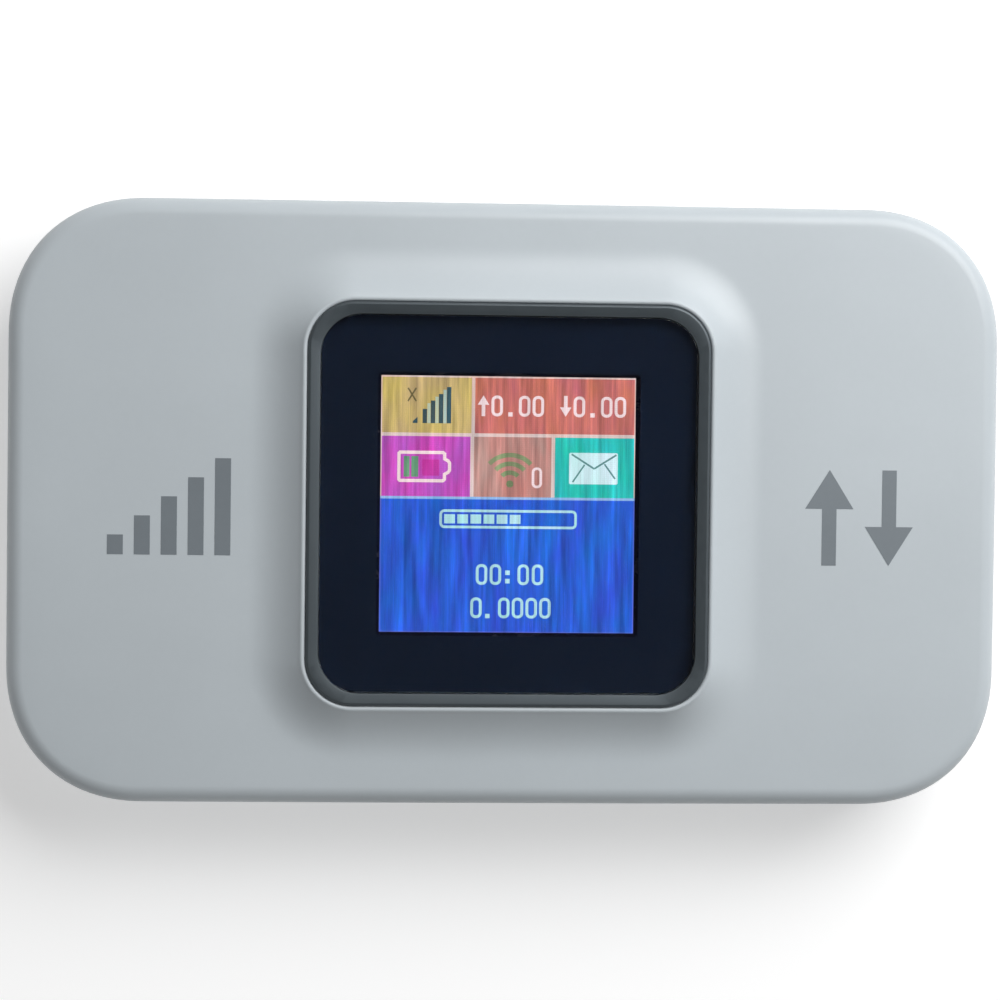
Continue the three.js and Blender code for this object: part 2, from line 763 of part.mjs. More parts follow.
// Antenna carriers follow the body's two ends, and a stamped antenna stands by the button's side.
const carrierInset = 3.6;
const carrierWidth = 5;
const carrierHeight = 1.8;
const carrierWall = 0.7;
const carrierHalfLength = halfDepth - screwInsetY - bossRadius - 2 * playGap;

function antennaCarrier(side) {
  const low = boardTop + seatGap;
  const high = low + carrierHeight;
  const band = slab(
    bodyOutline(carrierInset, plainSteps), low, high, [bodyOutline(carrierInset + carrierWidth, plainSteps)]);
  const keep = side > 0
    ? block(0, halfWidth, -carrierHalfLength, carrierHalfLength, low - overrun, high + overrun)
    : block(-halfWidth, 0, -carrierHalfLength, carrierHalfLength, low - overrun, high + overrun);
  const middle = side * (halfWidth - carrierInset - carrierWidth / 2);
  const hollow = blockAt(
    middle, 0, carrierWidth - 2 * carrierWall, 2 * (carrierHalfLength - carrierWall - carrierInset),
    low - overrun, high - carrierWall);
  return cut(solid(band).intersect(solid(keep)), [hollow]);
}

const stampedLength = 17;
const stampedDepth = 3.2;
const stampedHeight = 1.9;
const stampedSheet = 0.25;
const stampedLeg = 1.6;
const stampedPlaceShares = [-0.5, 0.84];
const stampedLegShares = [-1, -0.6, 1];

function wifiAntenna() {
  const roof = blockAt(0, 0, stampedLength, stampedDepth, stampedHeight - stampedSheet, stampedHeight);
  const edgeY = (stampedSheet - stampedDepth) / 2;
  const legs = stampedLegShares.map((share) => {
    const legX = share * (stampedLength - stampedLeg) / 2;
    return blockAt(legX, edgeY, stampedLeg, stampedSheet, 0, stampedHeight);
  });
  return joined([roof, ...legs]);
}

// Socket: a folded steel tunnel with two ears on the board, and the block with the tongue inside it
function socketSection(inset) {
  const half = socketHalfWidth - inset;
  const top = socketHeight / 2 - inset;
  const chamfer = socketChamfer - inset / 2;
  return [
    [-half + chamfer, -top], [half - chamfer, -top], [half, -top + chamfer],
    [half, top], [-half, top], [-half, -top + chamfer],
  ];
}

const earReach = 1.8;
const earLength = 2.4;
const tongueWidth = 3.7;
const tongueThickness = 0.65;
const tongueSetback = 0.7;
const tongueBlock = 1.6;

function socketShell() {
  const tunnel = slab(socketSection(0), -socketBack, -socketFront, [socketSection(socketWall)]);
  const earY = socketBack - earLength * 3 / 4;
  const earTop = boardTop + seatGap + socketWall - socketMiddle;
  const stemX = socketHalfWidth - socketWall / 2;
  const earWidth = earReach + socketWall;
  const earX = socketHalfWidth + (earReach - socketWall) / 2;
  const ears = [-1, 1].flatMap((side) => [
    blockAt(side * stemX, earY, socketWall, earLength / 2, 0, earTop),
    blockAt(side * earX, earY, earWidth, earLength / 2, earTop - socketWall, earTop),
  ]);
  return joined([towardsMinusY(tunnel), ...ears]);
}

function socketTongue() {
  const clear = socketWall + seatGap;
  const base = slab(socketSection(clear), -socketBack, -socketBack + tongueBlock);
  const high = socketHeight / 2 - socketWall - tongueThickness;
  const blade = block(
    -tongueWidth / 2, tongueWidth / 2, high - tongueThickness, high,
    -socketBack + tongueBlock / 2, -socketFront - tongueSetback);
  return joined([base, blade].map(towardsMinusY));
}

// The right-hand compartment: battery connector, then the card holder, between the bay and the end wall
const bayWall = 0.9;
const bayEndMargin = 11.3; // from the body's left end to the bay's wall
const connectorBodyDepth = 3.8;
const connectorHalfLength = 4.6;
const contactReach = 0.95;
const cardHolderWidth = 16.4;
const cardHolderLength = 15;
const cardEndMargin = 6.8;
const cardGap = 2.4;
const cardHighX = halfWidth - cardEndMargin;
const cardLowX = cardHighX - cardHolderWidth;
const connectorHighX = cardLowX - cardGap;
const connectorLowX = connectorHighX - connectorBodyDepth;
const batteryHighX = connectorLowX - contactReach - fitGap;
const batteryLowX = -halfWidth + bayEndMargin + bayWall + playGap;
const bayToSocket = 0.7;
const bayHalfWidth = -socketBack - bayToSocket - bayWall;
const batteryHalfWidth = bayHalfWidth - playGap;
const bayFloorGap = 1; // between the bay's walls and the back cover's floor

// Card holder: a black base under the board and a folded steel cover round the card's slot
const cardHolderHeight = 1.4;
const cardBase = 0.35;
const cardSheet = 0.2;
const cardPlaceShare = 0.2; // of the half depth: the holder's middle
const cardMiddleX = (cardLowX + cardHighX) / 2;
const cardMiddleY = cardPlaceShare * halfDepth;
const cardTop = boardBottom - seatGap;
const cardRunway = 10; // open length in front of the slot, to slide a card in
const contactRows = 3;
const contactPitchX = 7.62;
const contactPitchY = 2.54;
const cardContactWidth = 1;
const cardContactLength = 1.9;
const cardContactSheet = 0.12;
const cardContactRise = 0.3;

function cardHolderBase() {
  return blockAt(0, 0, cardHolderWidth - 2 * (cardSheet + seatGap), cardHolderLength, -cardBase, 0);
}

function cardHolderCover() {
  const floor = cardSheet - cardHolderHeight;
  const outer = blockAt(0, 0, cardHolderWidth, cardHolderLength, -cardHolderHeight, 0);
  const slot = blockAt(0, 0, cardHolderWidth - 2 * cardSheet, cardHolderLength + overrun, floor, overrun);
  const windows = [-1, 1].map((side) => blockAt(
    side * contactPitchX / 2, 0, contactPitchX / 2, cardHolderLength / 2,
    floor - cardSheet - overrun, floor + overrun / 2));
  return cut(solid(outer), [slot, ...windows]);
}

// A sprung leaf that bows down into the slot, drawn across its length and pulled to its width.
function cardContact() {
  const half = cardContactLength / 2;
  const outline = [
    [cardContactSheet, -half], [cardContactRise, 0], [cardContactSheet, half], [0, half], [0, -half],
  ];
  return towardsPlusX(slab(outline, -cardContactWidth / 2, cardContactWidth / 2));
}

// Battery connector with three sprung blades
const connectorRoom = 1.35; // its lower face over the battery's lower face
const bladePitch = 2.5;
const bladeWidth = 1.1;
const bladeSheet = 0.25;
const bladeHeight = 3;
const batteryMiddle = batteryBottom + batteryThickness / 2;
const bladeRise = bladeHeight / 4; // of the blades' middle over the battery's
const bladeMiddle = batteryMiddle + bladeRise;

function batteryConnector() {
  const body = block(
    connectorLowX, connectorHighX, -connectorHalfLength, connectorHalfLength,
    batteryBottom + connectorRoom - bladeMiddle, boardBottom - seatGap - bladeMiddle);
  const slots = [-1, 0, 1].map((step) => block(
    connectorLowX - overrun, connectorLowX + connectorBodyDepth / 2,
    step * bladePitch - bladeWidth / 2 - fitGap, step * bladePitch + bladeWidth / 2 + fitGap,
    -bladeHeight / 2 - fitGap, bladeHeight / 2 + fitGap));
  return cut(solid(body), slots);
}

function batteryBlade() {
  const half = bladeHeight / 2;
  const root = connectorLowX + connectorBodyDepth / 2 - fitGap;
  const tip = connectorLowX - contactReach;
  const shoulder = connectorLowX + fitGap;
  const outer = [[root, half], [shoulder, half], [tip, 0], [shoulder, -half], [root, -half]];
  const inner = [
    [root, -half + bladeSheet], [shoulder + bladeSheet / 2, -half + bladeSheet], [tip + bladeSheet, 0],
    [shoulder + bladeSheet / 2, half - bladeSheet], [root, half - bladeSheet],
  ];
  return towardsMinusY(slab([...outer, ...inner], -bladeWidth / 2, bladeWidth / 2));
}

// Battery: a round-sided cell between two plastic end caps, drawn round the battery's own middle level
const batteryEdge = 1.8;
const headCap = 3;
const tailCap = 1.6;
const padBoardHalfLength = 4.4;
const padBoardHeight = 2.6;
const padBoardSheet = 0.8;
const padReach = 0.9;
const padWidth = 1.7;
const padHeight = 1.9;
const capFace = 0.9;
const cellSteps = { corner: 5, long: 1, short: 1 };

function batterySection() {
  const half = batteryThickness / 2;
  return roundedOutline(half, batteryHalfWidth, batteryEdge, 2, cellSteps);
}

function batteryLength(lowX, highX) {
  return towardsPlusX(slab(batterySection(), lowX, highX));
}

const headLowX = batteryHighX - headCap;
const tailHighX = batteryLowX + tailCap;

function batteryHeadCap() {
  const pocket = block(
    headLowX - overrun, batteryHighX - capFace,
    -padBoardHalfLength - fitGap, padBoardHalfLength + fitGap,
    bladeRise - padBoardHeight / 2 - fitGap, bladeRise + padBoardHeight / 2 + fitGap);
  const windows = [-1, 0, 1].map((step) => block(
    batteryHighX - capFace - overrun, batteryHighX + overrun,
    step * bladePitch - padWidth / 2 - fitGap / 2, step * bladePitch + padWidth / 2 + fitGap / 2,
    bladeRise - padHeight / 2 - fitGap / 2, bladeRise + padHeight / 2 + fitGap / 2));
  return cut(solid(batteryLength(headLowX, batteryHighX)), [pocket, ...windows]);
}

function batteryPadBoard() {
  const front = batteryHighX - capFace - seatGap;
  const board = block(
    front - padBoardSheet, front, -padBoardHalfLength, padBoardHalfLength,
    bladeRise - padBoardHeight / 2, bladeRise + padBoardHeight / 2);
  const pads = [-1, 0, 1].map((step) => block(
    front - padBoardSheet / 2, front + padReach,
    step * bladePitch - padWidth / 2, step * bladePitch + padWidth / 2,
    bladeRise - padHeight / 2, bladeRise + padHeight / 2));
  return joined([board, ...pads]);
}

// Reset switch: a flat switch under the board, pressed through a pinhole in the chassis plate
const resetWidth = 3.2;
const resetHeight = 0.65;
const resetPlungerRadius = 0.7;
const resetPlungerLength = 0.55;
const resetProud = 0.25;
const resetTravel = 0.2;
const resetPlaceShare = -0.5; // of the half depth
const resetX = cardMiddleX;
const resetY = resetPlaceShare * halfDepth;
const resetTop = boardBottom - seatGap;
const resetBottom = resetTop - resetHeight;
const resetHoleRadius = resetPlungerRadius + slideGap;

function resetSwitchBody() {
  const body = blockAt(0, 0, resetWidth, resetWidth, 0, resetHeight);
  const top = resetPlungerLength - resetProud + resetTravel + seatGap;
  return cut(solid(body), [rod(0, 0, resetHoleRadius, -overrun, top)]);
}

function resetSwitchPlunger() {
  return rod(0, 0, resetPlungerRadius, -resetProud, resetPlungerLength - resetProud);
}

// Chassis: the plate over the battery, with the bay's walls, ribs and openings
const plateInset = shellWall + slideGap;
const thumbHalfWidth = 7;
const pillarRadius = 2.2;
const skirtInset = 3.1;
const skirtWall = 0.8;
const skirtDepth = 4.2;
const connectorMargin = 0.4;
const cardMargin = 0.4;
const resetPocketMargin = 0.3;

function chassisFrame() {
  const plate = slab(bodyOutline(plateInset, plainSteps), plateBottom, plateTop);
  const bayBottom = coverFloorTop + bayFloorGap;
  const innerLowX = batteryLowX - playGap;
  const innerHighX = batteryHighX + playGap;
  const middleX = (innerLowX + innerHighX) / 2;
  const lengthX = innerHighX - innerLowX;
  const joint = plateBottom + plateThickness / 2;
  const walls = [-1, 1].map((side) => blockAt(
    middleX, side * (bayHalfWidth + bayWall / 2), lengthX + 2 * bayWall, bayWall, bayBottom, joint));
  walls.push(block(innerLowX - bayWall, innerLowX, -bayHalfWidth, bayHalfWidth, bayBottom, joint));
  walls.push(block(innerHighX, innerHighX + bayWall, -bayHalfWidth, bayHalfWidth, bayBottom, joint));
  const skirtBottom = plateBottom - skirtDepth;
  const skirt = slab(
    bodyOutline(skirtInset, plainSteps), skirtBottom, joint,
    [bodyOutline(skirtInset + skirtWall, plainSteps)]);
  const pillars = screwPlaces.map(([x, y]) => rod(x, y, pillarRadius, joint, boardBottom - seatGap));
  const openings = screwPlaces.map(([x, y]) => rod(
    x, y, screwHoleRadius, plateBottom - overrun, boardBottom + overrun));
  openings.push(block(
    innerLowX - bayWall - overrun, innerLowX + overrun / 2, -thumbHalfWidth, thumbHalfWidth,
    bayBottom - overrun, plateBottom));
  openings.push(block(
    innerHighX - overrun / 2, connectorHighX + connectorMargin,
    -connectorHalfLength - connectorMargin, connectorHalfLength + connectorMargin,
    bayBottom - overrun, plateTop + overrun));
  const cardLowY = cardMiddleY - cardHolderLength / 2 - cardRunway;
  openings.push(block(
    cardLowX - cardMargin, cardHighX + cardMargin, cardLowY, cardMiddleY + cardHolderLength / 2 + cardMargin,
    plateBottom - overrun, plateTop + overrun));
  openings.push(rod(resetX, resetY, resetHoleRadius, plateBottom - overrun, plateTop + overrun));
  const pocketSide = resetWidth + 2 * resetPocketMargin;
  openings.push(blockAt(
    resetX, resetY, pocketSide, pocketSide, resetBottom - resetPocketMargin, plateTop + overrun));
  openings.push(socketNotch(skirtBottom, plateTop));
  openings.push(buttonNotch(switchFrontY - switchDepth - playGap, skirtBottom, plateTop));
  return cut(joined([plate, skirt, ...walls, ...pillars]), openings);
}

const screwTip = 0.6;
const crossWidth = 0.4;
const crossLength = 1.8;
const crossDepth = 0.4;

function chassisScrew() {
  const headTop = plateBottom - seatGap;
  const headBottom = headTop - screwHeadHeight;
  const tip = boardTop + screwReachIntoBoss;
  const profile = [
    [0, headBottom],
    [screwHeadRadius - screwHeadHeight / 3, headBottom],
    [screwHeadRadius, headBottom + screwHeadHeight / 3],
    [screwHeadRadius, headTop],
    [screwShankRadius, headTop],
    [screwShankRadius, tip - screwTip],
    [0, tip],
  ].map(([radius, height]) => new THREE.Vector2(radius, height));
  const turned = new THREE.LatheGeometry(profile, roundSides).rotateX(quarterTurn);
  const high = headBottom + crossDepth;
  const cross = [
    blockAt(0, 0, crossWidth, crossLength, headBottom - overrun, high),
    blockAt(0, 0, crossLength, crossWidth, headBottom - overrun, high),
  ];
  return cut(solid(turned), cross);
}

// Back cover: a shallow pan whose edge rolls up to the seam, with a lip and snap tabs behind the rim
const coverRollSteps = 6;
const lipRoot = 0.9;
const tabLength = 7;
const tabWall = 0.7;
const tabHook = 0.25;
const buttonSideTabShares = [-0.72, -0.24, 0.24]; // of the straight half side; none behind the button
const socketSideTabShares = [-0.72, -0.3, 0.3, 0.72];
const coverRibHeight = 0.7;
const coverRibThickness = 0.8;
const coverRibShares = [0.6, 0.72, 0.84];
const coverRibLengthShare = 0.7;
const nailLength = 9;
const nailHeight = 2.2;
const nailDepth = 1.1;
const nailPlaceShare = -0.62;
const nailSides = 20;

function backCoverSkin() {
  const levels = [];
  for (let i = 0; i <= coverRollSteps; i++) {
    const angle = quarterTurn * i / coverRollSteps;
    levels.push(bodyLevel(backRoll * (1 - Math.sin(angle)), backRoll * (1 - Math.cos(angle))));
  }
  levels.push(bodyLevel(0, seamLevel - rimChamfer));
  levels.push(bodyLevel(rimChamfer, seamLevel));
  levels.push(bodyLevel(lipInset, seamLevel));
  levels.push(bodyLevel(lipInset, seamLevel + lipHeight));
  levels.push(bodyLevel(lipInset + lipWall, seamLevel + lipHeight));
  levels.push(bodyLevel(lipInset + lipWall, seamLevel - lipRoot));
  const innerRoll = backRoll - coverWall;
  for (let i = innerRollSteps; i >= 0; i--) {
    const angle = quarterTurn * i / innerRollSteps;
    const inset = coverWall + innerRoll * (1 - Math.sin(angle));
    levels.push(bodyLevel(inset, coverWall + innerRoll * (1 - Math.cos(angle))));
  }
  return loft(levels, false);
}

// A snap tab stands on the lip; its hook points outwards and stops short of the front shell's wall.
function snapTab(length) {
  const base = seamLevel + lipHeight / 2;
  const top = seamLevel + tabRise;
  const outer = -lipInset - slideGap;
  const outline = [
    [outer - tabWall, base], [outer, base], [outer, top - 2 * tabHook],
    [outer + tabHook, top - tabHook], [outer, top], [outer - tabWall, top],
  ];
  return slab(outline, -length / 2, length / 2);
}

function backCover() {
  const sides = [[1, buttonSideTabShares], [-1, socketSideTabShares]];
  const tabs = sides.flatMap(([side, shares]) => shares.map((share) => {
    const tab = snapTab(tabLength).rotateX(quarterTurn).rotateZ(side * quarterTurn);
    return tab.translate(share * (halfWidth - cornerReach), side * halfDepth, 0);
  }));
  for (const side of [-1, 1]) {
    const tab = snapTab(tabLength).rotateX(quarterTurn);
    if (side < 0) tab.rotateZ(Math.PI);
    tabs.push(tab.translate(side * halfWidth, 0, 0));
  }
  const ribs = coverRibShares.map((share) => blockAt(
    share * halfWidth, 0, coverRibThickness, coverRibLengthShare * bodyDepth,
    coverFloorTop / 2, coverFloorTop + coverRibHeight));
  const nail = new THREE.SphereGeometry(1, nailSides, nailSides / 2);
  nail.scale(nailLength / 2, nailDepth, nailHeight / 2);
  nail.translate(nailPlaceShare * halfWidth, -halfDepth, seamLevel);
  const grown = [...tabs, ...ribs].map(solid).reduce((sum, piece) => sum.add(piece), solid(backCoverSkin()));
  return cut(grown, [nail]);
}

// The assembly, from the top down
const upperHalf = group(hotspot);
place(upperHalf, 'front_shell', frontShell(), whitePlastic);
place(upperHalf, 'power_button', powerButton(), whitePlastic, [buttonX, 0, buttonLevel]);

const display = group(upperHalf);
place(display, 'bezel_ring', bezelRing(), gunmetal);
place(display, 'display_lens', displayLens(), darkLens);
place(display, 'lens_mask', lensMask(), maskBlack);
place(display, 'lens_gasket', lensGasket(), foamBlack);
place(display, 'lcd_polariser', lcdPolariser(), litPanel);
place(display, 'lcd_glass', lcdGlass(), panelGlass);
place(display, 'lcd_tray', lcdTray(), trayWhite);
place(display, 'lcd_flex', lcdFlex(), flexAmber);
place(display, 'lcd_foam', lcdFoam(), foamBlack);

const board = group(hotspot);
place(board, 'main_board', mainBoard(), boardGreen);
for (const can of cans) {
  const middleShares = can.lowShares.map((low, axis) => (low + can.highShares[axis]) / 2);
  place(board, can.name, shieldCan(can), tinPlate, onBoard(middleShares));
}
place(board, 'wifi_chip', wifiChip(), chipBlack, onBoard(chipPlaceShares));
place(board, 'power_inductor', powerInductor(), ferriteGrey, onBoard(coilPlaceShares));
place(board, 'wifi_antenna', wifiAntenna(), goldPlate, onBoard(stampedPlaceShares));
place(board, 'antenna_left', antennaCarrier(-1), carrierCream);
place(board, 'antenna_right', antennaCarrier(1), carrierCream);
place(board, 'lcd_connector', lcdConnector(), trayWhite);
place(board, 'power_switch_body', powerSwitchBody(), blackPlastic);
place(board, 'power_switch_plunger', powerSwitchPlunger(), trayWhite);

const socket = group(board, [0, 0, socketMiddle]);
place(socket, 'usb_shell', socketShell(), steel);
place(socket, 'usb_tongue', socketTongue(), blackPlastic);

const resetSwitch = group(board, [resetX, resetY, resetBottom]);
place(resetSwitch, 'reset_switch_body', resetSwitchBody(), tinPlate);
place(resetSwitch, 'reset_switch_plunger', resetSwitchPlunger(), blackPlastic);

const cardHolder = group(board, [cardMiddleX, cardMiddleY, cardTop]);
place(cardHolder, 'card_holder_base', cardHolderBase(), blackPlastic);
place(cardHolder, 'card_holder_cover', cardHolderCover(), steel);
for (let i = 0; i < 2 * contactRows; i++) {
  const x = i < contactRows ? -contactPitchX / 2 : contactPitchX / 2;
  const y = (i % contactRows - 1) * contactPitchY;
  place(cardHolder, 'card_contact_' + (i + 1), cardContact(), goldPlate, [x, y, -cardBase - seatGap]);
}

const batterySocket = group(board, [0, 0, bladeMiddle]);
place(batterySocket, 'battery_connector', batteryConnector(), blackPlastic);
[-1, 0, 1].forEach((step, i) => {
  place(batterySocket, 'battery_contact_' + (i + 1), batteryBlade(), goldPlate, [0, step * bladePitch, 0]);
});

const chassis = group(hotspot);
place(chassis, 'chassis_frame', chassisFrame(), greyPlastic);
screwPlaces.forEach(([x, y], i) => {
  place(chassis, 'chassis_screw_' + (i + 1), chassisScrew(), steel, [x, y, 0]);
});

const battery = group(hotspot, [0, 0, batteryMiddle]);
place(battery, 'battery_cell', batteryLength(tailHighX + seatGap, headLowX - seatGap), cellSilver);
place(battery, 'battery_head_cap', batteryHeadCap(), blackPlastic);
place(battery, 'battery_tail_cap', batteryLength(batteryLowX, tailHighX), blackPlastic);
place(battery, 'battery_pad_board', batteryPadBoard(), goldPlate);

place(hotspot, 'back_cover', backCover(), whitePlastic);

export default hotspot;
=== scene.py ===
"""A pocket mobile hotspot: the visible skin, display picture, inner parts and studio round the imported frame."""

import math

import bmesh
import bpy
from bpy.props import FloatProperty, FloatVectorProperty, PointerProperty
from mathutils import Color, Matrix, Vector


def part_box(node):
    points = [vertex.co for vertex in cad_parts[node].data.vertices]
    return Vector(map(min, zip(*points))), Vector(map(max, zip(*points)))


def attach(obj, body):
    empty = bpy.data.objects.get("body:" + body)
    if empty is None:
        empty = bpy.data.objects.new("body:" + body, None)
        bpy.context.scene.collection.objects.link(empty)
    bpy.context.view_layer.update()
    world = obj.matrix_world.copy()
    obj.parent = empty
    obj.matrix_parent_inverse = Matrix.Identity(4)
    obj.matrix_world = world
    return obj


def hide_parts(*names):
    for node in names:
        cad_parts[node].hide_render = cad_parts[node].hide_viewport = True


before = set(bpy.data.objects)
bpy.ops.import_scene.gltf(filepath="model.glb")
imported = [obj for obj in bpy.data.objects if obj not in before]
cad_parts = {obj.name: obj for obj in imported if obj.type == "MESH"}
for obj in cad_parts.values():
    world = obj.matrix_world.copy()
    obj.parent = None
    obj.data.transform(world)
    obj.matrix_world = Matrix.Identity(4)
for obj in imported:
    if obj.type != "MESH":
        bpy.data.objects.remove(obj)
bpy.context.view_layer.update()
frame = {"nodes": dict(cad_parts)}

bl_info = {
    "name": "Mobile Hotspot Builder",
    "version": (1, 0, 0),
    "blender": (4, 5, 0),
    "location": "View3D > Sidebar > Hotspot",
    "description": "Models a pocket mobile hotspot piece by piece round its packed frame",
    "category": "Add Mesh",
}

MM = 1000.0  # pieces are modelled with one millimetre as the unit, then scaled down to metres
TINY = 1e-3  # places that are nearer than this count as one
APART = 0.01  # two loops on one level may be bridged across the piece, so one of them is a little higher
SMOOTH_ANGLE = 35.0  # degrees, past which an edge stays sharp
FLAT_ANGLE, SHARP_ANGLE = math.radians(1), math.radians(40)  # faces made one up to here, edges rounded from here
ROUND = 0.5  # bevel profile of a circle
SQUARISH = 0.5325  # bevel profile of the body's slightly squarer corners
CORNER_STEPS = 24
ROLL_STEPS = 12
SIDE_CUTS = (9, 5)  # cuts along the long and the short straight sides
NO_CUTS = (0, 0)

# the rest is in millimetres, unless it says otherwise
RIM_CHAMFER = 0.15
FACE_CUTS = 9  # cuts between the face's rolled edge and the foot of the slope
SLOPE_STEPS = 16
SLOPE_POWER = 2.2  # how sharply the slope steepens towards the ring
LIP_START = math.radians(25)  # where the concave slope meets the round of the lip
LIP_STEPS = 7
RING_GAP = 0.02  # between the ring and the lip round it
RING_REACH = 4.75  # a reach is how far a corner runs along its sides
RING_INNER_REACH = 4.2
RING_INNER_BEVEL = 0.08
LENS_REACH = 4.05
LENS_EDGE = 0.05
LEDGE = 0.8  # thickness of the ledge that carries the lens and the ring
LEDGE_GAP = 0.05  # between the ledge and the ring
WINDOW_REACH = 0.75
WINDOW_MARGIN = 0.9  # from the lit square to the edge of the ledge
CUT_INSIDE, CUT_OUTSIDE = 3.0, 1.0  # how far a cut through the body's side reaches to either side of it
KEY_HALF_LENGTH, KEY_HALF_HEIGHT = 5.75, 1.1
KEY_REACH = 0.96  # as a share of its half height
KEY_FOOT = 28.9  # where the button's cap starts, on Y
KEY_HOLE_GAP = 0.2
KEY_DISH = (9.15, 0.5, 2.0)  # half sizes of the finger dish round the button
MOUTH_HALVES, MOUTH_REACH = (4.1, 1.6), 0.9
MOUTH_MIDDLE = 1.3  # above the lowest point of the socket


def box_mm(node):
    """Lowest and highest corner of a CAD node in millimetres."""
    low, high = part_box(node)
    return low * MM, high * MM


SHELL_LOW, SHELL_HIGH = box_mm("front_shell")
RING_LOW, RING_HIGH = box_mm("bezel_ring")
LENS_LOW, LENS_HIGH = box_mm("display_lens")
KEY_LOW, KEY_HIGH = box_mm("power_button")
PANEL_TOP = box_mm("lcd_polariser")[1].z
SOCKET_LOW = box_mm("usb_shell")[0].z
KEY_X, KEY_Z = ((KEY_LOW + KEY_HIGH) / 2).x, KEY_LOW.z + KEY_HALF_HEIGHT


def length(name, description, millimetres):
    default = millimetres / MM
    return FloatProperty(name=name, description=description, default=default, min=0.0, unit="LENGTH", precision=5)


def fraction(name, description, value):
    return FloatProperty(name=name, description=description, default=value, min=0.0, max=1.0)


def paint(name, description, *parts):
    """A screen colour, given as red, green and blue out of 255."""
    default = [part / 255 for part in parts]
    return FloatVectorProperty(
        name=name, description=description, default=default, min=0.0, max=1.0, size=3, subtype="COLOR_GAMMA")


class HotspotSizes(bpy.types.PropertyGroup):
    """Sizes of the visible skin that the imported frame's boxes don't give."""

    shell_wall: length("Shell wall", "Thickness of the front shell", 1.4)
    cover_wall: length("Cover wall", "Thickness of the back cover", 1.2)
    face_roll: length("Face roll", "Radius over which the face turns into the sides", 1.8)
    back_roll: length("Back roll", "Radius over which the back turns into the sides", 4.0)
    corner_reach: length("Corner reach", "How far the body's corners run along its sides", 14.0)
    crown_ends: length("Crown to the ends", "How far the face falls from its middle to its ends", 0.6)
    crown_sides: length("Crown to the sides", "How far the face falls to its long sides", 0.3)
    pedestal_width: length("Pedestal width", "Plan width of the slope up to the display", 5.3)
    pedestal_rise: length("Pedestal rise", "Height of the lip over the face", 2.1)
    lip_radius: length("Lip radius", "Roundness of the lip round the display", 0.3)
    lip_depth: length("Lip below ring", "How far the lip lies below the ring's top", 0.2)
    ring_band: length("Ring band", "Width of the trim ring seen from the front", 1.27)
    ring_bevel: length("Ring bevel", "Rounded outer edge of the trim ring", 0.3)
    ring_drop: length("Ring drop", "How far the ring's band falls towards the lens", 0.15)
    lit_side: length("Lit side", "Side of the display's lit square", 25.86)


class HotspotColours(bpy.types.PropertyGroup):
    """Colours of the finishes, as they look on a screen."""

    shell: paint("Shell", "White moulded shell", 195, 203, 208)
    frame: paint("Inner frame", "Grey moulded chassis", 178, 182, 185)
    ring: paint("Ring", "Dark plated trim round the display", 78, 86, 91)
    # the navy of this black border is painted glow of the lit panel, made lighter to stand in for lamp light that
    # doesn't reach it through the lens
    border: paint("Border", "Printed black border under the lens", 20, 36, 58)
    mark: paint("Mark", "Printed marks on the shell", 122, 130, 136)
    board: paint("Board", "Solder mask of the circuit board", 24, 92, 58)
    steel: paint("Steel", "Stainless sheet", 176, 178, 182)
    tin: paint("Tin", "Tin plate of the shield cans", 190, 191, 190)
    gold: paint("Gold", "Gold-plated contacts", 214, 174, 98)
    black: paint("Black plastic", "Black moulded pieces", 34, 35, 38)
    white: paint("White plastic", "White moulded pieces", 224, 224, 218)
    cell: paint("Cell wrap", "Battery wrap", 108, 112, 117)


class HotspotStudio(bpy.types.PropertyGroup):
    """The light, the floor, the room and the camera."""

    lamp_power: FloatProperty(
        name="Lamp power", description="Power of the soft light behind and to the right", default=1.72, min=0.0,
        unit="POWER")
    lamp_size: length("Lamp size", "Side of the soft light", 320.0)
    lamp_distance: length("Lamp distance", "From the light to the middle of the object", 400.0)
    floor_glow: fraction("Floor glow", "How much white the floor adds to its own shade", 0.42)
    horizon: fraction("Horizon", "Brightness of the room at eye level", 0.36)
    upper: fraction("Upper room", "Brightness of the room half way up", 0.2)
    bounce: fraction("Bounce", "Brightness that the pale floor throws back up", 0.45)
    zenith: fraction("Zenith", "Brightness straight above", 0.03)
    lens: FloatProperty(name="Focal length", description="Camera lens in millimetres", default=101.9, min=1.0)


def sizes():
    return bpy.context.scene.hotspot_sizes


def colours():
    return bpy.context.scene.hotspot_colours


def studio():
    return bpy.context.scene.hotspot_studio


def mm(value):
    return value * MM


def linear(value):
    """A screen colour as the renderer needs it, with full alpha."""
    return (*Color(value).from_srgb_to_scene_linear(), 1.0)


def clear_selection():
    """Leaves edit mode and deselects everything."""
    active = bpy.context.object
    if active is not None and active.mode != "OBJECT":
        bpy.ops.object.mode_set(mode="OBJECT")
    bpy.ops.object.select_all(action="DESELECT")


def focus(piece):
    """Selects the piece alone and makes it active."""
    clear_selection()
    piece.select_set(True)
    bpy.context.view_layer.objects.active = piece


def edit(piece):
    focus(piece)
    bpy.ops.object.mode_set(mode="EDIT")


def rename(piece, name):
    piece.name = piece.data.name = name


def pick(kind, test):
    """Selects the edges or faces that pass the test, which is given the places of each one's vertices."""
    bpy.ops.mesh.select_mode(type=kind)
    bpy.ops.mesh.select_all(action="DESELECT")
    data = bpy.context.object.data
    mesh = bmesh.from_edit_mesh(data)
    elements = mesh.edges if kind == "EDGE" else mesh.faces
    chosen = [element for element in elements if test([vertex.co for vertex in element.verts])]
    if not chosen:
        raise RuntimeError(f"nothing to select on {bpy.context.object.name}")
    for element in chosen:
        element.select_set(True)
    mesh.select_flush_mode()
    bmesh.update_edit_mesh(data)


def at_level(*levels):
    """A test for pick, passed by what lies flat on one of the levels."""
    return lambda places: any(all(abs(place.z - level) < TINY for place in places) for level in levels)


def select_all():
    bpy.ops.mesh.select_all(action="SELECT")


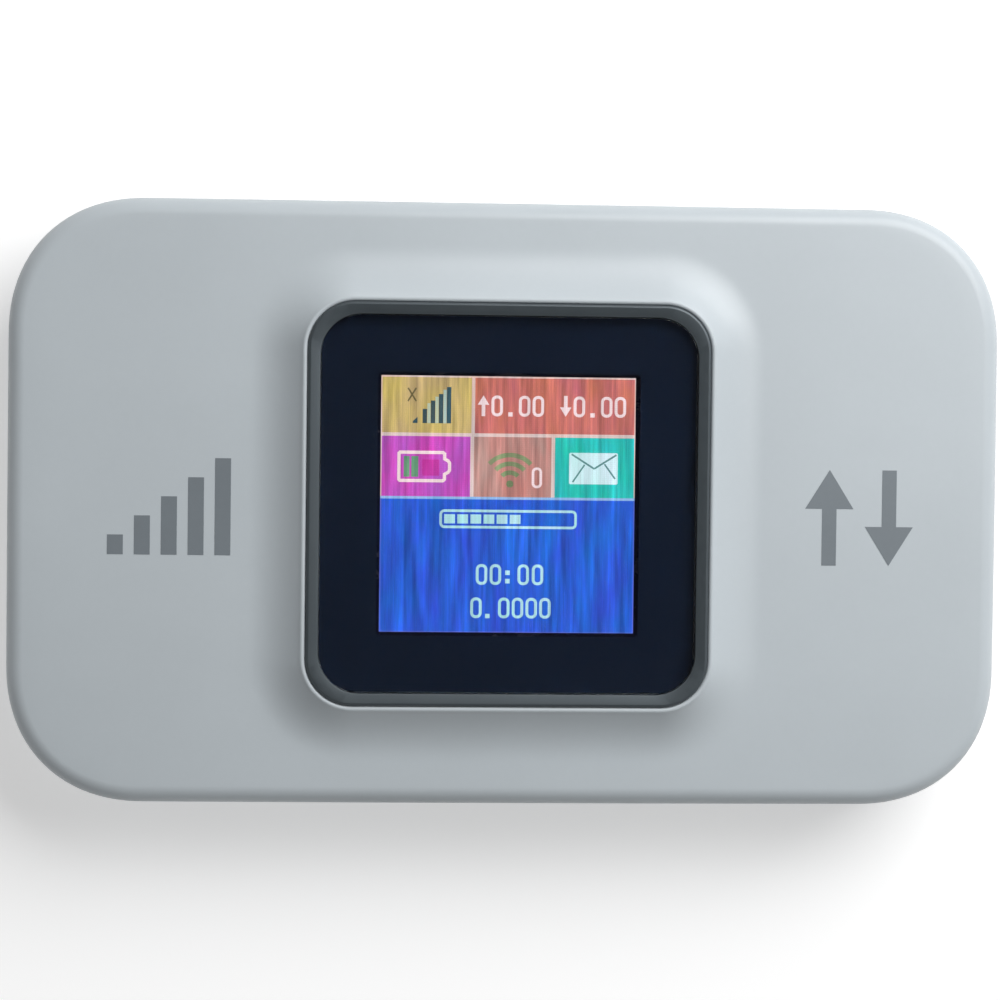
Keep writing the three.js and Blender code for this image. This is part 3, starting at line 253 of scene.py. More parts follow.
def extrude(z=0.0):
    bpy.ops.mesh.extrude_region_move(TRANSFORM_OT_translate={"value": (0.0, 0.0, z)})


def inset(thickness, depth=0.0):
    bpy.ops.mesh.inset(thickness=thickness, depth=depth, use_even_offset=True)


def round_edges(offset, segments, profile=ROUND, affect="EDGES"):
    bpy.ops.mesh.bevel(offset=offset, segments=segments, profile=profile, affect=affect, clamp_overlap=False)


def bridge(test, cuts=0):
    """Joins two loops of edges with faces."""
    pick("EDGE", test)
    bpy.ops.mesh.bridge_edge_loops(number_cuts=cuts, interpolation="LINEAR", profile_shape_factor=0.0)


def open_ends(*levels):
    """Takes away the flat faces on the levels and keeps their edges."""
    pick("FACE", at_level(*levels))
    bpy.ops.mesh.delete(type="ONLY_FACE")


def make_face_up():
    """Points the one selected face upwards, so that an inset's depth counts from above."""
    mesh = bmesh.from_edit_mesh(bpy.context.object.data)
    chosen = next(face for face in mesh.faces if face.select)
    chosen.normal_update()
    if chosen.normal.z < 0:
        bpy.ops.mesh.flip_normals()


def open_new(name):
    """Names the primitive that was just added and opens it in edit mode, all of it selected."""
    piece = bpy.context.object
    rename(piece, name)
    bpy.ops.object.mode_set(mode="EDIT")
    select_all()
    return piece


def start_plate(name, half_x, half_y, reach, level, profile=ROUND, steps=CORNER_STEPS, cuts=SIDE_CUTS):
    """A flat face with rounded corners, left in edit mode with the face selected and looking up."""
    clear_selection()
    bpy.ops.mesh.primitive_plane_add(size=2)
    piece = open_new(name)
    bpy.ops.transform.resize(value=(half_x, half_y, 1))
    bpy.ops.transform.translate(value=(0, 0, level))
    round_edges(reach, steps, profile, "VERTICES")
    select_all()
    bpy.ops.mesh.delete(type="ONLY_FACE")
    for axis, (half, count) in enumerate(zip((half_x, half_y), cuts)):
        if count:
            longest = half - reach
            pick("EDGE", lambda ends: abs(ends[0][axis] - ends[1][axis]) > longest)
            bpy.ops.mesh.subdivide(number_cuts=count)
    select_all()
    bpy.ops.mesh.edge_face_add()
    bpy.ops.mesh.select_mode(type="FACE")
    select_all()
    make_face_up()
    return piece


def start_block(name, low, high):
    """A box between two corners, left in edit mode."""
    clear_selection()
    bpy.ops.mesh.primitive_cube_add(size=1)
    piece = open_new(name)
    bpy.ops.transform.resize(value=[top - bottom for bottom, top in zip(low, high)])
    bpy.ops.transform.translate(value=[(top + bottom) / 2 for bottom, top in zip(low, high)])
    return piece


def start_polygon(name, corners, level):
    """A flat face with the given corners, left in edit mode with the face selected."""
    clear_selection()
    bpy.ops.mesh.primitive_circle_add(vertices=len(corners), radius=1, fill_type="NGON")
    piece = open_new(name)
    mesh = bmesh.from_edit_mesh(piece.data)
    for vertex, (x, y) in zip(list(mesh.verts), corners):
        vertex.co = (x, y, level)
    mesh.normal_update()
    bmesh.update_edit_mesh(piece.data)
    bpy.ops.mesh.select_mode(type="FACE")
    select_all()
    return piece


def start_key_outline(name, grown):
    """The power button's outline, made larger all round."""
    half_height = KEY_HALF_HEIGHT + grown
    return start_plate(
        name, KEY_HALF_LENGTH + grown, half_height, half_height * KEY_REACH, 0, steps=12, cuts=NO_CUTS)


def start_pan(name, rim, level, roll):
    """A closed block on the body's outline, from its chamfered rim to a face with a rolled edge."""
    piece = start_plate(name, SHELL_HIGH.x, SHELL_HIGH.y, mm(sizes().corner_reach), rim, SQUARISH)
    extrude(z=level - rim)
    pick("EDGE", at_level(level))
    round_edges(roll, ROLL_STEPS)
    pick("EDGE", at_level(rim))
    round_edges(RIM_CHAMFER, 2)
    return piece


def apply_modifiers(piece):
    focus(piece)
    for modifier in list(piece.modifiers):
        bpy.ops.object.modifier_apply(modifier=modifier.name)


def join(pieces):
    """Makes one piece of them all, under the name of the first."""
    focus(pieces[0])
    for piece in pieces:
        piece.select_set(True)
    if len(pieces) > 1:
        bpy.ops.object.join()
    return pieces[0]


def carve(piece, tool):
    """Cuts a closed shape out of the piece."""
    cutter = piece.modifiers.new("Carve", "BOOLEAN")
    cutter.operation = "DIFFERENCE"
    cutter.solver = "EXACT"
    cutter.object = tool
    apply_modifiers(piece)
    bpy.data.objects.remove(tool)


def hollow(piece, at, halves, segments):
    """Cuts a shallow hollow with a stretched ball of the given half sizes."""
    clear_selection()
    bpy.ops.mesh.primitive_uv_sphere_add(segments=segments, ring_count=segments // 2, radius=1, location=at)
    ball = bpy.context.object
    ball.scale = halves
    carve(piece, ball)


def drill(piece, outline, at):
    """Gives the outline a length, lays it along Y and cuts it out of the piece's side."""
    extrude(z=CUT_INSIDE + CUT_OUTSIDE)
    mend(outline)
    outline.rotation_euler = (math.pi / 2, 0, 0)
    outline.location = at
    carve(piece, outline)


def mend(piece):
    """Merges doubled vertices and points every face outwards."""
    edit(piece)
    bpy.ops.mesh.select_mode(type="VERT")
    select_all()
    bpy.ops.mesh.remove_doubles(threshold=TINY)
    select_all()
    bpy.ops.mesh.normals_make_consistent(inside=False)
    bpy.ops.object.mode_set(mode="OBJECT")


def to_metres(piece):
    """Puts the piece's place, turn and size into its mesh, then scales the mesh from millimetres to metres."""
    focus(piece)
    bpy.ops.object.transform_apply(location=True, rotation=True, scale=True)
    piece.scale = (1 / MM, 1 / MM, 1 / MM)
    bpy.ops.object.transform_apply(location=True, rotation=True, scale=True)


def dress(piece, body, material, replaced=(), angle=SMOOTH_ANGLE):
    """Smooths the piece, ties it to its body and its finish, and hides the nodes it stands for."""
    focus(piece)
    bpy.ops.object.shade_smooth_by_angle(angle=math.radians(angle))
    piece.data.materials.clear()
    piece.data.materials.append(material)
    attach(piece, body)
    if replaced:
        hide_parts(*replaced)


def finish_piece(piece, body, material, replaced=(), angle=SMOOTH_ANGLE):
    """Mends the piece, scales it to metres and dresses it."""
    mend(piece)
    to_metres(piece)
    dress(piece, body, material, replaced, angle)


def refine_node(node, name, body, material, edge):
    """A copy of a CAD node with its flat faces made whole and its edges rounded. It stands for the node."""
    piece = bpy.data.objects.new(name, frame["nodes"][node].data.copy())
    bpy.context.scene.collection.objects.link(piece)
    piece.data.name = name
    edit(piece)
    select_all()
    bpy.ops.mesh.remove_doubles(threshold=TINY / MM)
    bpy.ops.mesh.dissolve_limited(angle_limit=FLAT_ANGLE)
    bpy.ops.object.mode_set(mode="OBJECT")
    softened = piece.modifiers.new("Edges", "BEVEL")
    softened.width = edge / MM
    softened.segments = 2
    softened.limit_method = "ANGLE"
    softened.angle_limit = SHARP_ANGLE
    apply_modifiers(piece)
    dress(piece, body, material, (node,))


VECTOR = "NodeSocketVector"
COLOUR = "NodeSocketColor"
FLOAT = "NodeSocketFloat"
COVERING = {"Colour": COLOUR, "Roughness": FLOAT, "Height": FLOAT}
METAL_RELIEF = 0.0006  # millimetres


def built_once(build):
    """Has a shader group built when it is first asked for, under its function's name, and found after that."""
    name = build.__name__.replace("_", " ").title()

    def find():
        if name not in bpy.data.node_groups:
            build(name)
        return bpy.data.node_groups[name]

    return find


def new_group(name, inputs, outputs):
    """An empty shader group. An input is given as its kind, or as the number it starts with."""
    tree = bpy.data.node_groups.new(name, "ShaderNodeTree")
    for label, given in inputs.items():
        number = isinstance(given, float)
        socket = tree.interface.new_socket(name=label, in_out="INPUT", socket_type=FLOAT if number else given)
        if number:
            socket.default_value = given
    for label, kind in outputs.items():
        tree.interface.new_socket(name=label, in_out="OUTPUT", socket_type=kind)
    return tree, tree.nodes.new("NodeGroupInput").outputs, tree.nodes.new("NodeGroupOutput").inputs


def add(tree, kind, inputs=None, **settings):
    """A node with its settings. An input that is given a socket is linked to it."""
    node = tree.nodes.new(kind)
    for key, value in settings.items():
        setattr(node, key, value)
    for key, value in (inputs or {}).items():
        if isinstance(value, bpy.types.NodeSocket):
            tree.links.new(value, node.inputs[key])
        else:
            node.inputs[key].default_value = value
    return node


def sums(tree, operation, *values):
    """A Math node on up to three values."""
    return add(tree, "ShaderNodeMath", dict(enumerate(values)), operation=operation).outputs[0]


def vectors(tree, operation, *values):
    """A Vector Math node on one or two vectors."""
    return add(tree, "ShaderNodeVectorMath", dict(enumerate(values)), operation=operation).outputs[0]


def tinted(tree, colour, factor):
    """The colour made lighter or darker by a factor that changes over the surface."""
    return add(tree, "ShaderNodeVectorMath", {0: colour, "Scale": factor}, operation="SCALE").outputs[0]


def noise(tree, vector, scale, detail=2.0, roughness=0.5):
    inputs = {"Vector": vector, "Scale": scale, "Detail": detail, "Roughness": roughness}
    return add(tree, "ShaderNodeTexNoise", inputs).outputs["Fac"]


def spread(tree, value, low, high):
    """Maps the middle of a noise to a range."""
    inputs = {"Value": value, "From Min": 0.3, "From Max": 0.7, "To Min": low, "To Max": high}
    return add(tree, "ShaderNodeMapRange", inputs).outputs["Result"]


def about_one(tree, value, swing):
    """Maps the middle of a noise to a range round one."""
    return spread(tree, value, sums(tree, "SUBTRACT", 1.0, swing), sums(tree, "ADD", 1.0, swing))


@built_once
def moulded_skin(name):
    """Fine moulding grain, broad mottle and the faint smears of handling."""
    inputs = {"Place": VECTOR, "Colour": COLOUR, "Roughness": 0.4, "Mottle": 0.02, "Smear": 0.08, "Grain": 5000.0}
    tree, given, result = new_group(name, inputs, COVERING)
    shade = about_one(tree, noise(tree, given["Place"], 55.0, 3.0), given["Mottle"])
    speck = noise(tree, given["Place"], 1500.0, 2.0)
    fleck = spread(tree, speck, sums(tree, "MULTIPLY_ADD", given["Mottle"], -0.5, 1.0), 1.0)
    tree.links.new(tinted(tree, given["Colour"], sums(tree, "MULTIPLY", shade, fleck)), result["Colour"])
    smear = noise(tree, vectors(tree, "MULTIPLY", given["Place"], (1.0, 2.2, 1.0)), 120.0, 4.0, 0.6)
    swing = spread(tree, smear, sums(tree, "MULTIPLY", given["Smear"], -1.0), given["Smear"])
    tree.links.new(sums(tree, "ADD", given["Roughness"], swing), result["Roughness"])
    fine = noise(tree, given["Place"], given["Grain"], 3.0, 0.6)
    wave = noise(tree, given["Place"], 260.0, 1.0)
    tree.links.new(sums(tree, "MULTIPLY_ADD", wave, 0.8, fine), result["Height"])


@built_once
def drawn_metal(name):
    """Fine lines along one axis, as rolling and brushing leave them, with broader stains."""
    inputs = {"Place": VECTOR, "Colour": COLOUR, "Roughness": 0.3, "Lines": VECTOR, "Stain": 0.08}
    tree, given, result = new_group(name, inputs, COVERING)
    lines = noise(tree, vectors(tree, "MULTIPLY", given["Place"], given["Lines"]), 1.0, 3.0, 0.65)
    shade = about_one(tree, noise(tree, given["Place"], 160.0, 3.0), given["Stain"])
    tree.links.new(tinted(tree, given["Colour"], shade), result["Colour"])
    tree.links.new(sums(tree, "ADD", given["Roughness"], spread(tree, lines, -0.05, 0.09)), result["Roughness"])
    tree.links.new(lines, result["Height"])


@built_once
def panel_pixels(name):
    """The panel's pixel grid, and the soft vertical streaks in which its colours waver."""
    inputs = {"Place": VECTOR, "Colour": COLOUR, "Second": COLOUR, "Streak": 0.2}
    tree, given, result = new_group(name, inputs, {"Colour": COLOUR})

    def streaks(across, along, detail, roughness=0.5):
        stretched = vectors(tree, "MULTIPLY", given["Place"], (across, along, 1.0))
        return noise(tree, stretched, 1.0, detail, roughness)

    factor = sums(
        tree, "MULTIPLY", about_one(tree, streaks(2100.0, 110.0, 2.0, 0.6), given["Streak"]),
        about_one(tree, streaks(800.0, 90.0, 2.0), given["Streak"]))
    parts = add(tree, "ShaderNodeSeparateXYZ", {"Vector": given["Place"]})
    for axis in ("X", "Y"):
        turn = sums(tree, "MULTIPLY", parts.outputs[axis], 2 * math.pi * MM / pixel())
        wave = sums(tree, "MULTIPLY_ADD", sums(tree, "SINE", turn), 0.04, 1.0)
        factor = sums(tree, "MULTIPLY", wave, factor)
    drift = spread(tree, streaks(330.0, 120.0, 3.0, 0.6), 0.0, 1.0)
    apart = vectors(tree, "SUBTRACT", given["Second"], given["Colour"])
    drifted = vectors(tree, "ADD", tinted(tree, apart, drift), given["Colour"])
    tree.links.new(tinted(tree, drifted, factor), result["Colour"])


def start_material(name, colour):
    """A material with its surface node, the place on the piece, and a colour to look at in the viewport."""
    material = bpy.data.materials.new(name)
    material.use_nodes = True
    material.diffuse_color = linear(colour)
    tree = material.node_tree
    surface = tree.nodes["Principled BSDF"]
    place = tree.nodes.new("ShaderNodeTexCoord").outputs["Object"]
    return material, tree, surface, place


def set_sockets(surface, values):
    """Sets constants on the surface's sockets."""
    for label, value in values.items():
        surface.inputs[label].default_value = value


def raise_bump(tree, surface, height, depth):
    """Relief of a height, its depth given in millimetres."""
    bump = add(tree, "ShaderNodeBump", {"Strength": 1.0, "Distance": depth / MM, "Height": height})
    tree.links.new(bump.outputs["Normal"], surface.inputs["Normal"])


def covered(name, colour, group, given, depth):
    """A material whose shader group gives its colour, its roughness and its relief."""
    material, tree, surface, place = start_material(name, colour)
    made = add(tree, "ShaderNodeGroup", {"Place": place, "Colour": linear(colour), **given}, node_tree=group)
    tree.links.new(made.outputs["Colour"], surface.inputs["Base Color"])
    tree.links.new(made.outputs["Roughness"], surface.inputs["Roughness"])
    raise_bump(tree, surface, made.outputs["Height"], depth)
    return material, surface


def plastic(name, colour, roughness=0.4, mottle=0.02, smear=0.06, grain=5000.0, depth=0.0015, coat=0.0, sheen=0.5):
    """A moulded finish, dull or with a soft shine."""
    given = {"Roughness": roughness, "Mottle": mottle, "Smear": smear, "Grain": grain}
    material, surface = covered(name, colour, moulded_skin(), given, depth)
    set_sockets(surface, {"Coat Weight": coat, "Coat Roughness": 0.25, "Specular IOR Level": sheen})
    return material


def metal(name, colour, roughness=0.3, lines=(300.0, 12000.0, 12000.0), stain=0.06, metallic=1.0, coat=0.0):
    """A metal finish. Its lines run along the axis with the smallest number."""
    given = {"Roughness": roughness, "Lines": lines, "Stain": stain}
    material, surface = covered(name, colour, drawn_metal(), given, METAL_RELIEF)
    set_sockets(surface, {"Metallic": metallic, "Coat Weight": coat, "Coat Roughness": 0.15})
    return material


def clear_lens(name):
    """Clear moulded acrylic with a faint haze and a slight wave."""
    material, tree, surface, place = start_material(name, (0.9, 0.92, 0.95))
    set_sockets(surface, {"Base Color": (0.97, 0.975, 0.985, 1.0), "Transmission Weight": 1.0, "IOR": 1.45})
    haze = noise(tree, place, 90.0, 4.0, 0.6)
    tree.links.new(spread(tree, haze, 0.015, 0.05), surface.inputs["Roughness"])
    raise_bump(tree, surface, noise(tree, place, 45.0, 1.0), 0.002)
    return material


def lit(name, colour, second, streak):
    """A patch of the lit picture, which wanders between two colours."""
    material, tree, surface, place = start_material(name, colour)
    given = {"Place": place, "Colour": linear(colour), "Second": linear(second), "Streak": streak}
    pixels = add(tree, "ShaderNodeGroup", given, node_tree=panel_pixels())
    set_sockets(surface, {"Base Color": (0.0, 0.0, 0.0, 1.0), "Roughness": 0.4, "Emission Strength": 1.0})
    tree.links.new(pixels.outputs["Colour"], surface.inputs["Emission Color"])
    return material


def crown_drop(x, y):
    """How far the crowned face has fallen at a place, in millimetres."""
    made = sizes()
    return mm(made.crown_ends) * (x / SHELL_HIGH.x) ** 2 + mm(made.crown_sides) * (y / SHELL_HIGH.y) ** 2


def sink_crown(piece, weigh):
    """Lowers the piece's vertices along the crown, each by a share that depends on its height."""
    clear_selection()
    group = piece.vertex_groups.new(name="Crown")
    most = crown_drop(SHELL_HIGH.x, SHELL_HIGH.y)
    for vertex in piece.data.vertices:
        weight = weigh(vertex.co.z) * crown_drop(vertex.co.x, vertex.co.y) / most
        if weight > 0:
            group.add([vertex.index], weight, "REPLACE")
    sink = piece.modifiers.new("Crown", "DISPLACE")
    sink.direction = "Z"
    sink.mid_level = 0.0
    sink.strength = -most
    sink.vertex_group = group.name
    apply_modifiers(piece)
    piece.vertex_groups.clear()


class HOTSPOT_OT_front_shell(bpy.types.Operator):
    """Model the front shell: rolled edge, crowned face and the pedestal that rises to the display"""

    bl_idname = "hotspot.front_shell"
    bl_label = "Front Shell"

    def execute(self, context):
        made = sizes()
        rim = SHELL_LOW.z
        roll, wall, width = mm(made.face_roll), mm(made.shell_wall), mm(made.pedestal_width)
        opening = RING_HIGH.x + RING_GAP
        lip_radius = mm(made.lip_radius)
        lip_top = RING_HIGH.z - mm(made.lip_depth)
        lip_edge = lip_top - lip_radius * (1 - math.sin(LIP_START))
        face = lip_top - mm(made.pedestal_rise)
        foot = opening + lip_radius * (1 + math.cos(LIP_START)) + width

        shell = start_pan("upper_skin", rim, face, roll)
        open_ends(face)
        slope = start_plate("slope", foot, foot, RING_REACH + RING_GAP + foot - opening, face + APART)
        for step in range(SLOPE_STEPS):
            start, end = ((done / SLOPE_STEPS) ** SLOPE_POWER for done in (step, step + 1))
            inset(width / SLOPE_STEPS, (end - start) * (lip_edge - face - APART))
        shell = join([shell, slope])
        edit(shell)
        bridge(at_level(face, face + APART), FACE_CUTS)

        def weigh(height):
            """The full crown from the rolled edge to the foot of the slope, and none of it at the lip."""
            return 0.0 if height < face - roll - TINY else min(1.0, 1 - (height - face) / (lip_edge - face))

        sink_crown(shell, weigh)
        edit(shell)
        pick("FACE", at_level(lip_edge))
        for step in range(LIP_STEPS):
            start, end = (LIP_START + (math.pi - LIP_START) * done / LIP_STEPS for done in (step, step + 1))
            inset(lip_radius * (math.cos(start) - math.cos(end)), lip_radius * (math.sin(end) - math.sin(start)))
        ledge_top = RING_LOW.z - LEDGE_GAP
        ledge_width = RING_REACH - WINDOW_REACH
        window = mm(made.lit_side) / 2 + WINDOW_MARGIN
        narrowed = window / (opening - ledge_width)
        extrude(z=ledge_top - (lip_top - lip_radius))
        inset(ledge_width)
        extrude()
        bpy.ops.transform.resize(value=(narrowed, narrowed, 1), center_override=(0, 0, ledge_top))
        extrude(z=-LEDGE)
        bpy.ops.mesh.delete(type="ONLY_FACE")

        # the inner wall grows from the rim, so that no bridge has to join two loops on the rim's level
        under = face - wall
        pick("FACE", at_level(rim))
        inset(wall - RIM_CHAMFER)
        extrude(z=under - rim)
        pick("EDGE", at_level(under))
        round_edges(roll - wall, ROLL_STEPS // 2)
        open_ends(under)
        bridge(lambda places: at_level(under)(places) or (
            at_level(ledge_top - LEDGE)(places) and abs(places[0].x) < window + TINY))
        mend(shell)

        hollow(shell, (KEY_X, SHELL_HIGH.y, KEY_Z), KEY_DISH, segments=64)
        drill(shell, start_key_outline("key_hole", KEY_HOLE_GAP), (KEY_X, SHELL_HIGH.y + CUT_OUTSIDE, KEY_Z))
        mouth = start_plate("mouth", *MOUTH_HALVES, MOUTH_REACH, 0, steps=8, cuts=NO_CUTS)
        drill(shell, mouth, (0, SHELL_LOW.y + CUT_INSIDE, SOCKET_LOW + MOUTH_MIDDLE))
        skin = plastic("White Moulding", colours().shell, 0.42, coat=0.12)
        finish_piece(shell, "housing", skin, ("front_shell",))
        return {"FINISHED"}


class HOTSPOT_OT_back_cover(bpy.types.Operator):
    """Model the back cover: a shallow pan with a lip, snap tabs, ribs and a nail notch"""

    bl_idname = "hotspot.back_cover"
    bl_label = "Back Cover"

    seam_gap = 0.15
    lip_inset, lip_wall, lip_height = 1.55, 0.7, 0.6
    lip_depth = 0.9  # how far its inner side goes down below the seam
    notch_place, notch_halves = -0.62, (4.5, 1.1, 1.1)  # its place is a share of the half length
    tab_half, tab_back, tab_front = 3.5, -2.45, -1.75  # from the tab's middle, and in from the body's side
    tab_low, hook_low, hook_high, tab_high = 0.3, 0.8, 1.05, 1.3  # above the seam
    hook_reach, tab_bevel = 0.25, 0.08
    upper_tabs, lower_tabs = (-0.72, -0.24, 0.24), (-0.72, -0.3, 0.3, 0.72)  # shares of the straight side
    rib_places, rib_length = (0.6, 0.72, 0.84), 0.7  # shares of the half length and the half depth
    rib_half, rib_height, rib_bevel = 0.4, 0.7, 0.2

    def execute(self, context):
        made = sizes()
        seam = SHELL_LOW.z - self.seam_gap
        half_x, half_y = SHELL_HIGH.x, SHELL_HIGH.y
        wall = mm(made.cover_wall)
        cover = self.model_pan(seam, mm(made.back_roll), wall)
        hollow(cover, (self.notch_place * half_x, -half_y, seam), self.notch_halves, segments=48)
        straight = half_x - mm(made.corner_reach)
        places = [(place * straight, half_y, 0.0) for place in self.upper_tabs]
        places += [(place * straight, -half_y, math.pi) for place in self.lower_tabs]
        places += [(half_x, 0.0, -math.pi / 2), (-half_x, 0.0, math.pi / 2)]
        tabs = self.model_tabs(seam, places)
        ribs = []
        for place in self.rib_places:
            low = (place * half_x - self.rib_half, -self.rib_length * half_y, wall / 2)
            high = (place * half_x + self.rib_half, self.rib_length * half_y, wall + self.rib_height)
            ribs.append(start_block("rib", low, high))
            pick("EDGE", lambda ends: all(end.z > wall for end in ends))
            round_edges(self.rib_bevel, 3)
        skin = plastic("Cover White", colours().shell, coat=0.2)
        finish_piece(join([cover, *tabs, *ribs]), "cover", skin, ("back_cover",))
        return {"FINISHED"}

    def model_pan(self, seam, roll, wall):
        """The pan with its raised lip, closed and mended, because it is carved next."""
        cover = start_pan("cover_skin", seam, 0.0, roll)
        pick("FACE", at_level(seam))
        make_face_up()
        inset(self.lip_inset - RIM_CHAMFER)
        extrude(z=self.lip_height)
        inset(self.lip_wall)
        extrude(z=-self.lip_height - self.lip_depth)
        extrude()
        lip_in = self.lip_inset + self.lip_wall
        grown = [(half - wall) / (half - lip_in) for half in (SHELL_HIGH.x, SHELL_HIGH.y)]
        bpy.ops.transform.resize(value=(*grown, 1), center_override=(0, 0, seam - self.lip_depth))
        extrude(z=wall - seam + self.lip_depth)
        pick("EDGE", at_level(wall))
        round_edges(roll - wall, ROLL_STEPS // 2)
        mend(cover)
        return cover

    def model_tabs(self, seam, places):
        """One snap tab with its hook, copied to each place and turned there."""
        tab = start_block(
            "tab", (-self.tab_half, self.tab_back, seam + self.tab_low),
            (self.tab_half, self.tab_front, seam + self.tab_high))
        for cut_level in (seam + self.hook_low, seam + self.hook_high):
            select_all()
            bpy.ops.mesh.bisect(plane_co=(0, 0, cut_level), plane_no=(0, 0, 1))
        on_hook = at_level(seam + self.hook_high)
        pick("EDGE", lambda ends: on_hook(ends) and all(end.y > self.tab_front - TINY for end in ends))
        bpy.ops.transform.translate(value=(0, self.hook_reach, 0))
        pick("EDGE", lambda ends: any(end.z > seam + self.hook_low + TINY for end in ends))
        round_edges(self.tab_bevel, 3)
        mend(tab)
        tabs = []
        for x, y, turn in places:
            copy = tab.copy()
            copy.data = tab.data.copy()
            bpy.context.scene.collection.objects.link(copy)
            copy.rotation_euler = (0, 0, turn)
            copy.location = (x, y, 0)
            tabs.append(copy)
        bpy.data.objects.remove(tab)
        return tabs


class HOTSPOT_OT_trim_ring(bpy.types.Operator):
    """Model the dark plated ring round the lens"""

    bl_idname = "hotspot.trim_ring"
    bl_label = "Trim Ring"

    def execute(self, context):
        made = sizes()
        low, high, band = RING_LOW.z, RING_HIGH.z, mm(made.ring_band)
        inner_top = high - mm(made.ring_drop)
        half = RING_HIGH.x - band
        ring = start_plate("trim_ring", RING_HIGH.x, RING_HIGH.x, RING_REACH, low)
        extrude(z=high - low)
        pick("EDGE", at_level(high))
        round_edges(mm(made.ring_bevel), 10)
        open_ends(high, low)
        inner = start_plate("ring_inside", half, half, RING_INNER_REACH, inner_top)
        bpy.ops.mesh.delete(type="ONLY_FACE")
        foot = start_plate("ring_foot", half, half, RING_REACH - band, low + APART)
        bpy.ops.mesh.delete(type="ONLY_FACE")
        inner = join([inner, foot])
        edit(inner)
        bridge(at_level(inner_top, low + APART))
        ring = join([ring, inner])
        edit(ring)
        bridge(at_level(high, inner_top))
        bridge(at_level(low, low + APART))
        pick("EDGE", at_level(inner_top))
        round_edges(RING_INNER_BEVEL, 4)
        lines = (900.0, 900.0, 9000.0)
        finish = metal("Ring Gunmetal", colours().ring, 0.45, lines, stain=0.025, metallic=0.5, coat=0.2)
        finish_piece(ring, "housing", finish, ("bezel_ring",), angle=12.0)
        return {"FINISHED"}


class HOTSPOT_OT_lens(bpy.types.Operator):
    """Model the clear lens"""

    bl_idname = "hotspot.lens"
    bl_label = "Lens"

    def execute(self, context):
        lens = start_plate("lens_window", LENS_HIGH.x, LENS_HIGH.x, LENS_REACH, LENS_LOW.z)
        extrude(z=LENS_HIGH.z - LENS_LOW.z)
        pick("EDGE", at_level(LENS_HIGH.z))
        round_edges(LENS_EDGE, 4)
        finish_piece(lens, "housing", clear_lens("Lens Clear"), ("display_lens",), angle=50.0)
        return {"FINISHED"}


# the picture's places and sizes are in the panel's pixels, counted from its upper left corner
PIXELS = 128  # along each side of the panel
FILM = 0.02  # millimetres, the thickness of each layer of the picture and its height above the panel
INLAY = 2  # layer of what lies on an icon; an icon is on layer 1 and a tile on layer 0
TITLE_LEFT, TITLE_PITCH = 48.4, 6.9  # the top line of figures
TITLE_MIDDLE = 14.6
NOUGHT_HEIGHT = 10.4
NOUGHT_REACH = 0.46  # of its width
ARC_REACH = 0.999  # of its radius, so that next to nothing of the ring's sides stays straight
FAN_FOOT, FAN_STROKE = (65.0, 53.4), 2.3
FAN_ANGLE = math.radians(47)  # to each side of upright
TILES = {  # two screen colours out of 255, then left, top, right and bottom
    "picture_yellow": ((210, 188, 100), (192, 164, 124), (0.5, 0.8, 45.4, 28.5)),
    "picture_red": ((208, 121, 94), (196, 106, 116), (47.1, 0.8, 127.5, 28.5)),
    "picture_magenta": ((210, 66, 176), (180, 92, 200), (0.5, 30.2, 45.0, 60.2)),
    "picture_salmon": ((206, 130, 122), (178, 146, 138), (46.8, 30.2, 85.8, 60.2)),
    "picture_teal": ((34, 200, 174), (48, 190, 200), (87.6, 30.2, 127.5, 60.2)),
    "picture_blue": ((50, 79, 216), (26, 104, 208), (0.5, 61.5, 127.5, 127.6)),
}
CELL_OUTLINE = (
    (9.4, 37.5), (31.6, 37.5), (32.9, 38.6), (32.9, 41.0), (34.4, 41.8), (35.4, 43.2), (35.4, 47.4), (34.4, 48.8),
    (32.9, 49.6), (32.9, 52.0), (31.6, 53.2), (9.4, 53.2), (8.4, 52.2), (8.4, 38.5))
ENVELOPE_OUTLINE = (
    (95.3, 37.7), (94.8, 38.2), (94.8, 52.9), (95.3, 53.4), (118.8, 53.4), (119.3, 52.9), (119.3, 38.2),
    (118.8, 37.7))


def pixel():
    """Millimetres from one of the panel's pixels to the next."""
    return mm(sizes().lit_side) / PIXELS


def on_panel(column, row):
    """The place of a pixel corner on X and Y."""
    return (column - PIXELS / 2) * pixel(), (PIXELS / 2 - row) * pixel()


def layer_level(layer):
    return PANEL_TOP + FILM + layer * FILM


def patches(layer, *blocks):
    """Flat blocks of the picture. Each is given as its left, top, right and bottom."""
    low = layer_level(layer)
    pieces = []
    for left, top, right, bottom in blocks:
        pieces.append(start_block("patch", (*on_panel(left, bottom), low), (*on_panel(right, top), low + FILM)))
    return pieces


def loop_shape(left, top, right, bottom, stroke, reach, steps=6):
    """A ring with rounded corners, such as an outline or a nought."""
    (x0, y0), (x1, y1) = on_panel(left, bottom), on_panel(right, top)
    halves = (x1 - x0) / 2, (y1 - y0) / 2
    piece = start_plate("loop", *halves, reach * pixel(), layer_level(1), steps=steps, cuts=NO_CUTS)
    inset(stroke * pixel())
    bpy.ops.mesh.delete(type="FACE")
    select_all()
    extrude(z=FILM)
    select_all()
    bpy.ops.transform.translate(value=((x0 + x1) / 2, (y0 + y1) / 2, 0))
    return piece


def nought(left, top, wide=5.8, stroke=1.45):
    """A plain nought, given its upper left corner."""
    return loop_shape(left, top, left + wide, top + NOUGHT_HEIGHT, stroke, wide * NOUGHT_REACH)


def corner_shape(corners, layer=1, stroke=0.0):
    """A flat shape with the given pixel corners, filled or as an outline."""
    piece = start_polygon("shape", [on_panel(*corner) for corner in corners], layer_level(layer))
    if stroke:
        inset(stroke * pixel())
        bpy.ops.mesh.delete(type="FACE")
        select_all()
    extrude(z=FILM)
    return piece


